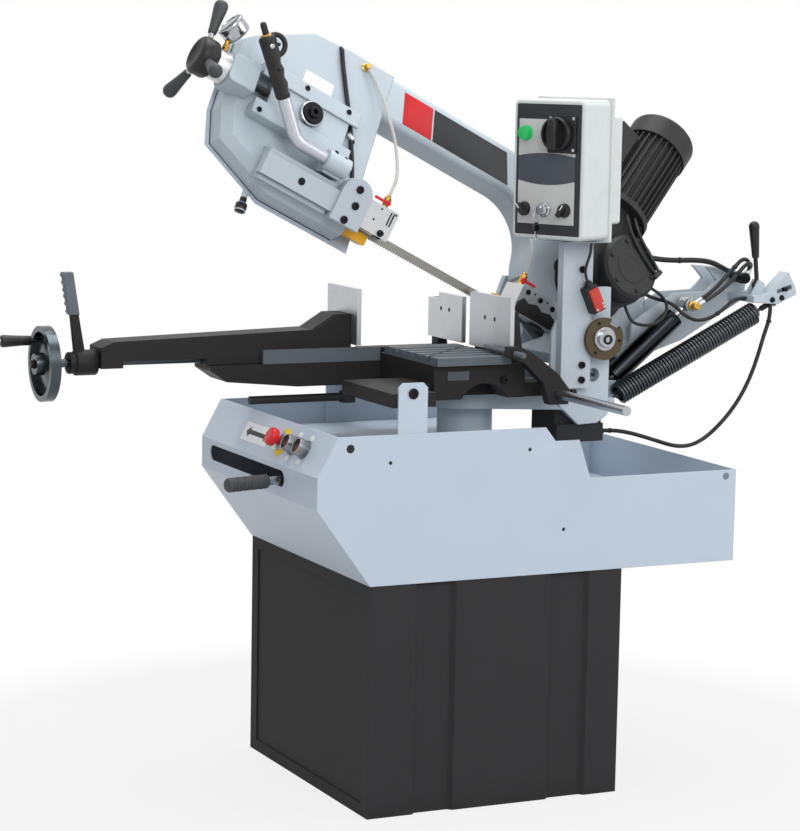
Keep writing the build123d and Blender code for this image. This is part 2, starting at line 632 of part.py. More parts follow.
def make_vise_base():
    """Cast base: table block, vise bed, side wings, pivot column and jaw blocks."""
    trough = BED_HALF + SLIDE
    body = block(BASE_LEFT, BASE_RIGHT, BASE_FRONT, BASE_BACK, BASE_LOW, BASE_TOP)
    body -= block(VISE_X - trough, VISE_X + trough, BASE_FRONT, BASE_BACK, BED_TOP, BASE_TOP)
    bed = [(BED_FRONT, BED_TOP), (BED_FRONT, BED_LOW + 40), (BED_FRONT + 37, BED_LOW + 15),
           (BED_FRONT + 200, BED_LOW), (BASE_FRONT, BED_LOW), (BASE_FRONT, BED_TOP)]
    body += prism_x(bed, VISE_X - BED_HALF, VISE_X + BED_HALF)
    inside = TRAY_X / 2 - TRAY_SHEET - TAB_THICK
    wing_low, wing_top = BASE_LOW + 3, WING_TOP
    body += block(60, inside, TAB_RIGHT_Y - 44, TAB_RIGHT_Y + 54, wing_low, wing_top)
    body += block(60, 190, TAB_RIGHT_Y, BASE_FRONT, wing_low, wing_top)
    body += block(-inside, BASE_LEFT, TAB_LEFT_Y - 16, TAB_LEFT_Y + 30, BASE_LOW, BED_TOP - 20)
    arch = rod((BASE_RIGHT - 60, BASE_FRONT + 120, BASE_LOW - 30),
               (BASE_RIGHT + 1, BASE_FRONT + 120, BASE_LOW - 30), 62)
    body -= arch
    nut = block(VISE_X - SCREW_R * 1.4, VISE_X + SCREW_R * 1.4, NUT_Y[0], NUT_Y[1], BED_TOP,
                SCREW_Z + SCREW_R * 1.5)
    nut -= rod((VISE_X, NUT_Y[0] - 1, SCREW_Z), (VISE_X, NUT_Y[1] + 1, SCREW_Z), SCREW_R + RUN)
    body += nut
    body -= rod((VISE_X, BED_FRONT - 1, SCREW_Z), (VISE_X, NUT_Y[0], SCREW_Z), SCREW_R + 2)
    body -= rod((VISE_X, NUT_Y[1], SCREW_Z), (VISE_X, BASE_BACK + 1, SCREW_Z), SCREW_R + 2)
    body += jaw_blocks()
    body += block(BASE_RIGHT - 65, BASE_RIGHT - 5, BASE_BACK - 20, STOP_ROD_Y + STOP_ROD_R * 2.4,
                  BASE_LOW, STOP_ROD_Z + STOP_ROD_R * 2)
    body -= rod((BASE_RIGHT - 45, STOP_ROD_Y, STOP_ROD_Z), (BASE_RIGHT, STOP_ROD_Y, STOP_ROD_Z),
                STOP_ROD_R)
    body += disc(0, MITRE_Y, DECK_Z, TURRET_Z - SLIDE, COLUMN_R)
    body += disc(0, MITRE_Y, SLOT_Z - 24, BASE_LOW + 1, STEM_R)
    body += disc(0, MITRE_Y, DECK_Z + 10, BASE_LOW + 1, PIN_R)
    body += disc(SHIFT_X, SHIFT_PIN_Y, SHIFT_Z - SHIFT_R - 4, BED_LOW + 1, SHIFT_R * 0.8)
    return body


def jaw_blocks():
    """Blocks behind the fixed jaw plates."""
    back = JAW_FACE_Y + JAW_THICK
    rise = JAW_TOP - 30
    right = prism_x([(back, BASE_TOP - 1), (BASE_BACK, BASE_TOP - 1), (back + 14, rise), (back, rise)],
                    JAW_RIGHT[0] + 8, JAW_RIGHT[1] - 8)
    left = prism_x([(back, BASE_TOP - 1), (back + 24, BASE_TOP - 1), (back + 12, rise), (back, rise)],
                   JAW_LEFT[0], JAW_LEFT[0] + 32)
    return right + left


def make_table():
    """Grooved table plate with blade slits, and the polished way beside the vise beam."""
    back = JAW_FACE_Y - 4
    plate = block(TABLE_LEFT, TABLE_RIGHT, BASE_FRONT, back, BASE_TOP, TABLE_TOP)
    pitch = (TABLE_RIGHT - 30) / GROOVE_COUNT
    for index in range(GROOVE_COUNT):
        x = 24 + pitch * index
        plate -= block(x - GROOVE_WIDE / 2, x + GROOVE_WIDE / 2, BASE_FRONT, back,
                       TABLE_TOP - GROOVE_DEEP, TABLE_TOP)
    reach = TABLE_RIGHT * 2
    slit = block(-SLIT / 2, SLIT / 2, -reach, reach, TABLE_TOP - SLIT_DEEP, TABLE_TOP)
    for turn in (0, MITRE_MAX):
        plate -= Pos(0, MITRE_Y, 0) * Rot(0, 0, turn) * slit
    way_x = VISE_X + BEAM_HALF + SLIDE
    way = block(way_x, VISE_X + BED_HALF, BED_FRONT + 120, BASE_FRONT, BED_TOP, TABLE_TOP - 4)
    return Compound([plate.solid(), way.solid()])


def make_fixed_jaws():
    """Two jaw plates either side of the blade."""
    plates = []
    for low, high in (JAW_RIGHT, JAW_LEFT):
        plate = block(low, high, JAW_FACE_Y, JAW_FACE_Y + JAW_THICK, JAW_LOW, JAW_TOP)
        for share in (0.38, 0.62):
            x = low + (high - low) * share
            z = (JAW_LOW + JAW_TOP) / 2 + 8
            plate -= rod((x, JAW_FACE_Y - 1, z), (x, JAW_FACE_Y + 6, z), 5)
        plates.append(plate)
    left, right = JAW_LEFT
    back = JAW_FACE_Y + JAW_THICK
    plates[1] -= block(left, right, JAW_FACE_Y, back, JAW_TOP - JAW_DROP, JAW_TOP)
    plates[1] -= block(left, left + 52, JAW_FACE_Y, back, JAW_TOP - JAW_DROP - JAW_STEP, JAW_TOP)
    return Compound([plate.solid() for plate in plates])


def make_vise_beam():
    """Sliding beam with the jaw bracket at its back."""
    back = JAW_FACE_Y - VISE_OPEN - JAW_THICK
    low = BED_TOP + SLIDE
    side = [(BEAM_FRONT, low), (BEAM_FRONT + 48, low), (BEAM_FRONT + 48, low + 14),
            (BED_FRONT - 6, low + 14), (BED_FRONT - 6, low), (back, low), (back, MOVING_JAW_TOP - 56),
            (back - 40, MOVING_JAW_TOP - 56), (back - 92, BEAM_TOP + 4), (BEAM_FRONT + 28, BEAM_TOP - 10),
            (BEAM_FRONT, BEAM_TOP - 22)]
    beam = prism_x(side, VISE_X - BEAM_HALF, VISE_X + BEAM_HALF)
    beam = chamfer(beam.edges().filter_by(Axis.X, reverse=True).group_by(Axis.Z)[-2], 4)
    half = SCREW_R * 1.4 + SLIDE + 1
    beam -= block(VISE_X - half, VISE_X + half, BEAM_FRONT + 40, back - 12, low - 8,
                  SCREW_Z + SCREW_R * 1.5 + SLIDE + 2)
    bore = SCREW_R + RUN
    return beam - rod((VISE_X, BEAM_FRONT - 1, SCREW_Z), (VISE_X, BEAM_FRONT + 50, SCREW_Z), bore)


def make_moving_jaw():
    """Plate on the moving jaw."""
    face = JAW_FACE_Y - VISE_OPEN
    return block(MOVING_JAW_X[0], MOVING_JAW_X[1], face - JAW_THICK, face, TABLE_TOP + 2, MOVING_JAW_TOP)


def make_handwheel():
    """Dished handwheel on the end of the vise screw, with the crank stud."""
    profile = [(0, -16), (22, -16), (24, 2), (HANDWHEEL_R - 14, 12), (HANDWHEEL_R - 12, -4),
               (HANDWHEEL_R, -4), (HANDWHEEL_R, 18), (HANDWHEEL_R - 12, 22), (20, 12),
               (20, HANDWHEEL_HUB), (0, HANDWHEEL_HUB)]
    face = make_face(Polyline(*[(r, h) for r, h in profile], close=True))
    wheel = revolve(Plane.XZ.location * face, Axis.Z)
    turned = Pos(VISE_X, WHEEL_Y, SCREW_Z) * Rot(-90, 0, 0) * wheel
    screw = rod((VISE_X, WHEEL_Y, SCREW_Z), (VISE_X, NUT_Y[1] + 12, SCREW_Z), SCREW_R)
    stud_x, stud_z = crank_place()
    stud = rod((stud_x, WHEEL_Y + 15, stud_z), (stud_x, WHEEL_Y - 16 - CRANK_LONG, stud_z), 5)
    return turned + screw + stud


def crank_place():
    """Where the crank handle stands on the wheel (x, z)."""
    turn = radians(CRANK_ANGLE)
    return (VISE_X - CRANK_AT * cos(turn), SCREW_Z + CRANK_AT * sin(turn))


def make_crank_handle():
    """Barrel-shaped handle that spins on its stud."""
    x, z = crank_place()
    front = WHEEL_Y - 12
    handle = taper((x, front, z), (x, front - CRANK_LONG, z), CRANK_R * 0.75, CRANK_R)
    handle = fillet(handle.edges().group_by(Axis.Y)[0], CRANK_R * 0.4)
    return handle - rod((x, front + 1, z), (x, front - CRANK_LONG - 1, z), 5 + RUN)


def make_vise_lock_lever():
    """Cam hub on the screw with a flat bar and a ribbed grip."""
    hub = rod((VISE_X, LOCK_Y - LOCK_HUB, SCREW_Z), (VISE_X, BEAM_FRONT - SLIDE, SCREW_Z), LOCK_HUB_R)
    hub -= rod((VISE_X, LOCK_Y - LOCK_HUB - 1, SCREW_Z), (VISE_X, BEAM_FRONT, SCREW_Z), SCREW_R + RUN)
    lean = -LOCK_LEAN
    low, high = SCREW_Z + LOCK_HUB_R - 7, SCREW_Z + LOCK_LONG + 18
    bar_top = low + (high - low) * 0.5
    bar = prism_x([(LOCK_Y - 12, low), (LOCK_Y + 12, low), (LOCK_Y + lean * 0.5 + 9, bar_top),
                   (LOCK_Y + lean * 0.5 - 9, bar_top)], VISE_X - 6, VISE_X + 6)
    grip = prism_x([(LOCK_Y + lean * 0.5 - 11, bar_top), (LOCK_Y + lean * 0.5 + 11, bar_top),
                    (LOCK_Y + lean + 10, high), (LOCK_Y + lean - 12, high)], VISE_X - 11, VISE_X + 11)
    return hub + bar + grip


def make_vise_shift_lever():
    """Round lever under the vise bed that frees the vise for shifting sideways."""
    lever = rod((SHIFT_X, SHIFT_PIN_Y, SHIFT_Z), (SHIFT_X, SHIFT_TIP_Y, SHIFT_Z), SHIFT_R)
    lever += disc(SHIFT_X, SHIFT_PIN_Y, SHIFT_Z - SHIFT_R - 3, SHIFT_Z + SHIFT_R + 3, SHIFT_R * 2)
    return lever - disc(SHIFT_X, SHIFT_PIN_Y, SHIFT_Z - 40, SHIFT_Z + 40, SHIFT_R * 0.8 + RUN)


def make_stop_rod():
    """Round rod that carries the length stop."""
    start = (BASE_RIGHT - 45, STOP_ROD_Y, STOP_ROD_Z)
    return rod(start, (STOP_ROD_END, STOP_ROD_Y, STOP_ROD_Z), STOP_ROD_R)


def make_stop_arm():
    """Curved arm clamped on the stop rod, with its finger."""
    tip_y, tip_z = JAW_FACE_Y - 14, TABLE_TOP + 9
    half = 13.0
    arm = prism_x([(STOP_ROD_Y - 22, STOP_ROD_Z - 22), (STOP_ROD_Y + 22, STOP_ROD_Z - 22),
                   (STOP_ROD_Y + 24, STOP_ROD_Z + 10), (STOP_ROD_Y - 4, STOP_ROD_Z + 44),
                   (tip_y + 40, tip_z + 2), (tip_y + 12, tip_z + 14), (tip_y - 12, tip_z + 14),
                   (tip_y - 14, tip_z - 6), (tip_y + 24, tip_z - 22), (STOP_ROD_Y - 40, STOP_ROD_Z + 26)],
                  STOP_X - half, STOP_X + half)
    arm -= rod((STOP_X - half - 1, STOP_ROD_Y, STOP_ROD_Z), (STOP_X + half + 1, STOP_ROD_Y, STOP_ROD_Z),
               STOP_ROD_R + RUN)
    finger = rod((STOP_X - 78, tip_y, tip_z), (STOP_X + half, tip_y, tip_z), 6)
    screw = rod((STOP_X, STOP_ROD_Y + 20, STOP_ROD_Z), (STOP_X, STOP_ROD_Y + 46, STOP_ROD_Z), 5)
    return arm + finger + screw


def make_mitre_lever():
    """Lock lever under the deck that comes out through the slot in the tray front."""
    boss = disc(0, MITRE_Y, SLOT_Z - 14, SLOT_Z + 6, STEM_R * 2.2)
    run_y = TRAY_FRONT - MITRE_Y
    length = hypot(LEVER_OUT_X, run_y)
    turn = degrees(atan2(run_y, LEVER_OUT_X))
    out = length + 18
    bar = block(0, out, -11, 11, SLOT_Z - 10, SLOT_Z + 2)
    tip = length * (LEVER_TIP_Y - MITRE_Y) / run_y
    stalk = rod((out - 20, 0, SLOT_Z - 4), (out + 14, 0, SLOT_Z - 4), 9)
    grip = rod((out + 10, 0, SLOT_Z - 4), (tip, 0, SLOT_Z - 4), 15)
    for index in range(5):
        place = out + 22 + (tip - out - 30) * index / 5
        grip -= rod((place, 0, SLOT_Z - 4), (place + 4, 0, SLOT_Z - 4), 20) - \
            rod((place, 0, SLOT_Z - 4), (place + 4, 0, SLOT_Z - 4), 13)
    lever = Pos(0, MITRE_Y, 0) * Rot(0, 0, turn) * (bar + stalk + grip)
    return boss + lever - disc(0, MITRE_Y, SLOT_Z - 30, SLOT_Z + 30, STEM_R + RUN)


# Turret

def make_turret():
    """Turret: disc on the pivot column, rear plate, two cheeks and the spring bar lugs."""
    top = TURRET_Z + TURRET_PLATE
    plate = disc(0, MITRE_Y, TURRET_Z, top, TURRET_DISC_R)
    plate += prism_z([(-TURRET_DISC_R, MITRE_Y), (TURRET_DISC_R, MITRE_Y), (CHEEK_OUT, CHEEK_FRONT),
                      (CHEEK_OUT, CHEEK_BACK), (-CHEEK_OUT, CHEEK_BACK), (-CHEEK_OUT, CHEEK_FRONT)],
                     TURRET_Z, top)
    plate -= disc(0, MITRE_Y, TURRET_Z - 1, top + 1, PIN_R + RUN)
    cheek = [(CHEEK_FRONT, TURRET_Z), (CHEEK_FRONT + 38, CHEEK_LOW), (CHEEK_BACK - 26, CHEEK_LOW + 2),
             (CHEEK_BACK, CHEEK_LOW + 20), (CHEEK_BACK, CHEEK_TOP), (CHEEK_FRONT + 20, CHEEK_TOP),
             (CHEEK_FRONT, CHEEK_TOP - 50)]
    rib = [(CHEEK_FRONT, TURRET_Z), (CHEEK_FRONT, CHEEK_TOP - 56), (CHEEK_FRONT - 18, CHEEK_TOP - 66),
           (CHEEK_FRONT - 32, CHEEK_TOP - 100), (CHEEK_FRONT - 34, TURRET_Z + TURRET_PLATE)]
    for side in (1, -1):
        x0, x1 = sorted((side * CHEEK_OUT, side * (CHEEK_OUT - CHEEK_THICK)))
        plate += prism_x(cheek, x0, x1)
        plate -= rod((x0 - 1, PIVOT_Y, PIVOT_Z), (x1 + 1, PIVOT_Y, PIVOT_Z), PIVOT_R + RUN)
        plate -= rod((x0 - 1, PIVOT_Y - 6, PIVOT_Z - 82), (x1 + 1, PIVOT_Y - 6, PIVOT_Z - 82), 15)
    plate += prism_x(rib, CHEEK_OUT - CHEEK_THICK / 2, CHEEK_OUT)
    plate += block(-CHEEK_OUT, CHEEK_OUT, CHEEK_BACK - 18, CHEEK_BACK, TURRET_Z, CROSS_TOP)
    lug = [(CHEEK_BACK, SPRING_BAR_Z - 8), (SPRING_BAR_Y + 14, SPRING_BAR_Z - 8),
           (CYL_LOW_YZ[0] + 12, CYL_LOW_YZ[1] - 9), (CYL_LOW_YZ[0] + 12, CYL_LOW_YZ[1] + 12),
           (CYL_LOW_YZ[0] - 12, CYL_LOW_YZ[1] + 14), (CHEEK_BACK, CROSS_TOP - 6)]
    for x in (LUG_IN[0] - LUG_THICK, LUG_IN[1]):
        plate += prism_x(lug, x, x + LUG_THICK)
    low, high = SPRING_X[1] - 16, SPRING_X[0] + 16
    plate += rod((low, SPRING_BAR_Y, SPRING_BAR_Z), (high, SPRING_BAR_Y, SPRING_BAR_Z), SPRING_BAR_R)
    stay = SPRING_X[1] + SPRING_R + 3 * WIRE_R
    plate += prism_x(lug[:2] + [(SPRING_BAR_Y + 14, SPRING_BAR_Z + 14), (CHEEK_BACK, CROSS_TOP - 6)],
                     stay, stay + LUG_THICK)
    pin_y, pin_z = CYL_LOW_YZ
    return plate + rod((LUG_IN[0] - LUG_THICK, pin_y, pin_z), (LUG_IN[1] + LUG_THICK, pin_y, pin_z), 8)


def make_pedestal_block():
    """Black block under the turret that takes the cables."""
    low = DECK_Z + 4
    body = block(PEDESTAL_X[0], PEDESTAL_X[1], PEDESTAL_Y[0], PEDESTAL_Y[1], low, CHEEK_LOW)
    body += block(PEDESTAL_X[0], CHEEK_OUT - CHEEK_THICK - GAP, PEDESTAL_Y[0], PEDESTAL_Y[1],
                  CHEEK_LOW - 1, TURRET_Z)
    x, y, z = gland_place()
    for place in (x, x - 45):
        body += rod((place, PEDESTAL_Y[1], z), (place, y, z), 10)
    return body


def gland_place():
    """End of the cable gland on the pedestal's back."""
    return (PEDESTAL_X[1] - GLAND_IN, PEDESTAL_Y[1] + GLAND_OUT, CHEEK_LOW - GLAND_DROP)


def make_control_bracket():
    """Folded channel up the right cheek with a shelf for the control box."""
    x0, x1 = CHEEK_OUT, CHEEK_OUT + BRACKET_DEEP
    front, back = BRACKET_Y
    low, top = TURRET_Z + 49, BOX_Z - COVER_HALF_Z - 4
    channel = block(x0, x1, front, back, low, top - 3)
    channel -= block(x0, x1 - 3, front + 3, back - 3, low - 1, top - 3)
    for z in (low + 18, low + 50):
        channel -= rod((x1 - 4, back - 22, z), (x1 + 1, back - 22, z), 5)
    return channel + block(x0 - 40, x0 + 50, front - 10, back + 24, top - 3, top)


def in_box(shape):
    """Place a piece that is drawn from the middle of the control box."""
    return Pos(BOX_X, BOX_Y, BOX_Z) * Rot(0, 0, BOX_TURN) * shape


def make_control_box():
    """Enclosure base and its deep cover with a rim."""
    wall = BOX_WALL
    rim = 4.0
    cover = block(-COVER_HALF_X, COVER_HALF_X, COVER_FRONT, COVER_REAR, -COVER_HALF_Z, COVER_HALF_Z)
    cover = fillet(cover.edges().filter_by(Axis.Y), 14)
    cover = fillet(cover.faces().sort_by(Axis.Y)[0].edges(), 7)
    cover += block(-COVER_HALF_X - rim, COVER_HALF_X + rim, COVER_REAR - 9, COVER_REAR,
                   -COVER_HALF_Z - rim, COVER_HALF_Z + rim)
    cover -= block(-COVER_HALF_X + wall, COVER_HALF_X - wall, COVER_FRONT + wall, COVER_REAR,
                   -COVER_HALF_Z + wall, COVER_HALF_Z - wall)
    half_x, half_z = COVER_HALF_X - 10, COVER_HALF_Z - 32
    base = block(-BOX_LEFT, half_x, COVER_REAR, BOX_REAR, -half_z, half_z)
    base = fillet(base.edges().filter_by(Axis.Y), 8)
    base += block(-COVER_HALF_X, COVER_HALF_X, COVER_REAR, COVER_REAR + 4, -COVER_HALF_Z, COVER_HALF_Z)
    base -= block(-BOX_LEFT + wall, half_x - wall, COVER_REAR - 1, BOX_REAR - wall, -half_z + wall,
                  half_z - wall)
    return Compound([in_box(cover).solid(), in_box(base).solid()])


def knob(x, z, radius, high, rib_wide, rib_high):
    """A turning knob with a grip rib, out of the cover's face."""
    base = disc(0, 0, GAP, high, radius)
    rib = block(-rib_wide / 2, rib_wide / 2, -radius, radius, high - 1, high + rib_high)
    return in_box(Pos(x, COVER_FRONT, z) * Rot(90, 0, 0) * (base + rib))


def make_main_switch():
    """Large rotary main switch."""
    return knob(MAIN_X, KNOB_HIGH, MAIN_R, 12, 17, 20)


def make_selector(x):
    """Small selector switch."""
    return knob(x, KNOB_LOW, 15, 12, 9, 10)


def make_key_switch():
    """Key in its round barrel, with a spare key hanging on the ring."""
    barrel = disc(0, 0, GAP, 14, 13)
    key = block(-1.5, 1.5, -9, 9, 13, 34)
    ring = Pos(0, -14, 30) * Rot(0, 90, 0) * Torus(9, 1.2)
    return in_box(Pos(KEY_X, COVER_FRONT, KNOB_LOW) * Rot(90, 0, 0) * (barrel + key + ring))


def make_pilot_lamp():
    """Domed pilot lamp."""
    lamp = disc(0, 0, 0, LAMP_R, LAMP_R)
    lamp = fillet(lamp.edges().group_by(Axis.Z)[-1], LAMP_R * 0.375)
    return in_box(Pos(LAMP_X, COVER_FRONT, KNOB_HIGH) * Rot(90, 0, 0) * lamp)


def make_limit_switch():
    """Limit switch on the bracket above the cam disc, with its cable."""
    x0 = CHEEK_OUT + BRACKET_DEEP
    body = block(x0, x0 + 30, -16, 16, -30, 30)
    body += rod((x0 + 15, 0, 29), (x0 + 15, 0, 42), 9)
    body += block(x0 + 8, x0 + 14, -5, 5, -34, -29)
    turn = radians(SWITCH_LEAN)
    y, z = SWITCH_YZ
    switch = Pos(0, y, z) * Rot(SWITCH_LEAN, 0, 0) * body
    top = (x0 + 15, y - 42 * sin(turn), z + 42 * cos(turn))
    up = (x0 + 15, y - 60 * sin(turn), z + 60 * cos(turn))
    shelf = BOX_Z - COVER_HALF_Z - 7
    wire = cord([top, up, (x0 + 15, y - 20, z + 76), (x0 + 15, y - 10, shelf - 20),
                 (x0 + 15, y - 10, shelf)], SWITCH_WIRE_R)
    return Compound([switch.solid(), wire.solid()])


# Springs and cylinder

def spring_path(length):
    """Coil of half-turn arcs along Z with straight end legs on the Z axis.

    Each half turn is an arc in a leaning plane, so that the arcs meet without a kink.
    """
    count = SPRING_HALF_TURNS
    bend, leg = SPRING_BEND, SPRING_LEG
    coil = length - 2 * (bend + leg)
    step = coil / count
    z0 = leg + bend
    side = -bend
    wide = hypot(SPRING_R, step / 2)
    edges = [Line((0, 0, 0), (0, 0, leg))]
    edges.append(bend_arc((0, 0, leg), (0, side, z0), 1))
    small = SPRING_R / 2
    edges.append(ThreePointArc((0, side, z0), (small, side - small, z0), (SPRING_R, side, z0)))
    sign = 1
    for index in range(count):
        z = z0 + step * index
        edges.append(ThreePointArc((sign * SPRING_R, side, z), (0, side + sign * wide, z + step / 2),
                                   (-sign * SPRING_R, side, z + step)))
        sign = -sign
    z1 = z0 + coil
    edges.append(ThreePointArc((sign * SPRING_R, side, z1), (sign * small, side + sign * small, z1),
                               (0, side, z1)))
    edges.append(bend_arc((0, side, z1), (0, 0, z1 + bend), -1))
    edges.append(Line((0, 0, z1 + bend), (0, 0, length)))
    return edges


def bend_arc(start, end, sense):
    """Quarter arc between the leg on the axis and the small half turn."""
    slant = SPRING_BEND * (1 - cos(pi / 4))
    rise = SPRING_BEND * sin(pi / 4)
    middle = (0, start[1] - slant, start[2] + rise)
    if sense < 0:
        middle = (0, end[1] - slant, end[2] - rise)
    return ThreePointArc(start, middle, end)


def spring_ends(x):
    """Where a spring meets the bar and the eyebolt at rest."""
    eye_y, eye_z = raised_point(*EYE_YZ)
    low = (x, SPRING_BAR_Y, SPRING_BAR_Z)
    high = (x, eye_y, eye_z)
    return along(low, high, SPRING_BAR_R + GAP), along(high, low, GAP)


def least_gap(edges):
    """Least gap of the wire to itself: points on each edge, against those over one edge further on."""
    steps = 12
    points = [edge @ (index / steps) for edge in edges for index in range(steps)]
    least = SPRING_R
    for index, point in enumerate(points):
        for other in points[index + steps + steps // 2:index + 5 * steps]:
            least = min(least, (other - point).length - 2 * WIRE_R)
    return least


def make_spring(x):
    """Tension spring as one unbroken tube."""
    low, high = spring_ends(x)
    axis = Vector(*high) - Vector(*low)
    edges = spring_path(axis.length)
    print("spring gap to itself", round(least_gap(edges), 2), "mm, measured on points")
    profile = Plane(origin=(0, 0, 0), z_dir=UP) * RegularPolygon(WIRE_R, 6)
    tube = sweep(profile, path=Wire(edges))
    return Plane(origin=low, x_dir=(1, 0, 0), z_dir=axis).location * tube


def cylinder_ends():
    """Low pin and tail pin of the cylinder at rest."""
    pin_y, pin_z = raised_point(*CYL_PIN_YZ)
    return (CYL_X, CYL_LOW_YZ[0], CYL_LOW_YZ[1]), (CYL_X, pin_y, pin_z)


def make_cylinder_barrel():
    """Barrel with its lower eye on the turret pin."""
    low, high = cylinder_ends()
    barrel = rod(along(low, high, 26), along(low, high, BARREL_LONG), BARREL_R)
    barrel += rod((LUG_IN[0] + SLIDE, low[1], low[2]), (LUG_IN[1] - SLIDE, low[1], low[2]), 17)
    barrel += rod(along(low, high, 6), along(low, high, 30), 15)
    barrel -= rod((LUG_IN[0] - 1, low[1], low[2]), (LUG_IN[1] + 1, low[1], low[2]), 8 + RUN)
    return barrel - rod(along(low, high, 60), along(low, high, BARREL_LONG + 1), ROD_R + RUN)


def make_cylinder_rod():
    """Piston rod with its upper eye round the tail pin."""
    low, high = cylinder_ends()
    length = hypot(high[1] - low[1], high[2] - low[2])
    piece = rod(along(low, high, 110), along(low, high, length - 12), ROD_R)
    half = CYL_EYE_HALF
    piece += rod((CYL_X - half, high[1], high[2]), (CYL_X + half, high[1], high[2]), 17)
    return piece - rod((CYL_X - half - 1, high[1], high[2]), (CYL_X + half + 1, high[1], high[2]),
                       7 + PIN_PLAY)


# Bow: housings, arm and covers

def run_channel(p0, p1, q, half):
    """Channel for a straight run of the blade, open to the left."""
    return block(p0, p1, q - half, q + half, CAST_LEFT - 1, CAST_BACK - WEB)


def front_outline(grow):
    """Outline of the front housing in the wheel plane."""
    return [(HOUSING_END, -38 - grow), (FRONT_P - 15, -38 - grow), (FRONT_P - 157 - grow, 22 - grow / 2),
            (FRONT_P - 177 - grow, 92), (FRONT_P - 177 - grow, 258 + grow), (FRONT_P - 33, 345 + grow),
            (FRONT_P + 59, ARM_TOP + grow), (HOUSING_END, ARM_TOP + grow)]


def make_front_housing():
    """Cast front housing with the idler wheel well, slide rails and tension block."""
    cast = prism_z(front_outline(0), CAST_LEFT, CAST_BACK)
    rims = [edge for edge in cast.faces().sort_by(Axis.Z)[-1].edges()
            if edge.center().X < FRONT_P - 20 and edge.center().Y < 200 or edge.center().Y < 0]
    cast = chamfer(rims, 20)
    cast -= disc(FRONT_P, WHEEL_Q, CAST_LEFT - 1, CAST_BACK - WEB, WHEEL_R + CAVITY_GAP)
    cast -= run_channel(FRONT_P, HOUSING_END + 1, 0, 16)
    cast -= run_channel(FRONT_P, HOUSING_END + 1, 2 * WHEEL_Q, 18)
    cast -= block(FRONT_P - AXLE_R - 3, FRONT_P + AXLE_R + TENSION_TRAVEL + 3, WHEEL_Q - AXLE_R - 2,
                  WHEEL_Q + AXLE_R + 2, CAST_BACK - WEB - 1, CAST_BACK + 1)
    rail_top = CAST_BACK + 26
    strips = []
    for side in (1, -1):
        near, far = WHEEL_Q + side * (SLIDE_HALF + SLIDE), WHEEL_Q + side * (SLIDE_HALF + 24)
        q0, q1 = sorted((near, far))
        cast += block(SLIDE_P[0] - 30, SLIDE_P[1] + 14, q0, q1, CAST_BACK - 1, rail_top)
        s0, s1 = sorted((WHEEL_Q + side * (SLIDE_HALF - 10), far))
        strips.append(block(SLIDE_P[0] - 30, SLIDE_P[1] + 14, s0, s1, rail_top, rail_top + 5))
    nose = NOSE_P
    tension = block(nose, FRONT_P - 145, WHEEL_Q - 32, WHEEL_Q + 32, CAST_BACK - 18, CAST_BACK + 48)
    cast += chamfer(tension.edges().filter_by(Axis.Z).group_by(Axis.X)[0], 8)
    cast -= rod((nose - 1, WHEEL_Q, TENSION_N), (SLIDE_P[0], WHEEL_Q, TENSION_N), 8 + RUN)
    body = on_wheels(cast)
    body += on_bow(guide_pad())
    body += on_bow(handle_boss())
    cavity = disc(FRONT_P, WHEEL_Q, CAST_LEFT - 1, CAST_BACK - WEB, WHEEL_R + CAVITY_GAP)
    body -= on_wheels(cavity + run_channel(FRONT_P, HOUSING_END + 1, 0, 16))
    return Compound([body.solid()] + [on_wheels(strip).solid() for strip in strips])


def guide_pad():
    """Pad with two rails that carries the guide bar."""
    pad = block(8, GUIDE_BAR_X[1] - 12, GUIDE_BAR_Y[0] + 5, GUIDE_BAR_Y[1] - 20, GUIDE_BAR_Z[0] - 11,
                GUIDE_BAR_Z[1] + 11)
    return pad - block(GUIDE_BAR_X[0] - SLIDE, GUIDE_BAR_X[1], GUIDE_BAR_Y[0], GUIDE_BAR_Y[1],
                       GUIDE_BAR_Z[0] - SLIDE, GUIDE_BAR_Z[1] + SLIDE)


def handle_boss():
    """Boss that clamps the pull handle."""
    boss = rod((BOSS_X, BOSS_Y[0], BOSS_Z), (BOSS_X, BOSS_Y[1], BOSS_Z), TUBE_R + 8)
    boss += block(-4, BOSS_X, BOSS_Y[0] + 6, BOSS_Y[1] - 4, BOSS_Z - 28, BOSS_Z + 2)
    return boss - rod((BOSS_X, BOSS_Y[0] - 1, BOSS_Z), (BOSS_X, BOSS_Y[1] + 1, BOSS_Z), TUBE_R)


def rear_outline():
    """Arm and rear housing in the wheel plane, with the curved throat corner."""
    bend_p = REAR_P - ARM_BEND
    away_p, away_q = bend_p - REAR_P, ARM_TOP - WHEEL_Q
    turn = atan2(away_q, away_p) - acos(REAR_HOUSING_R / hypot(away_p, away_q))
    throat_q = ARM_LOW - THROAT_R
    reach = REAR_HOUSING_R + THROAT_R
    throat_p = REAR_P - (reach ** 2 - (throat_q - WHEEL_Q) ** 2) ** 0.5
    meet = atan2(throat_q - WHEEL_Q, throat_p - REAR_P) % (2 * pi)

    def housing(angle):
        return (REAR_P + REAR_HOUSING_R * cos(angle), WHEEL_Q + REAR_HOUSING_R * sin(angle))

    def throat(angle):
        return (throat_p + THROAT_R * cos(angle), throat_q + THROAT_R * sin(angle))

    under, corner, crown = (HOUSING_END, ARM_LOW), (HOUSING_END, ARM_TOP), (bend_p, ARM_TOP)
    lean = meet - pi
    edges = [Line(under, throat(pi / 2)),
             ThreePointArc(throat(pi / 2), throat((pi / 2 + lean) / 2), housing(meet)),
             ThreePointArc(housing(meet), housing((meet + 2 * pi + turn) / 2), housing(turn)),
             Line(housing(turn), crown), Line(crown, corner), Line(corner, under)]
    return make_face(edges)


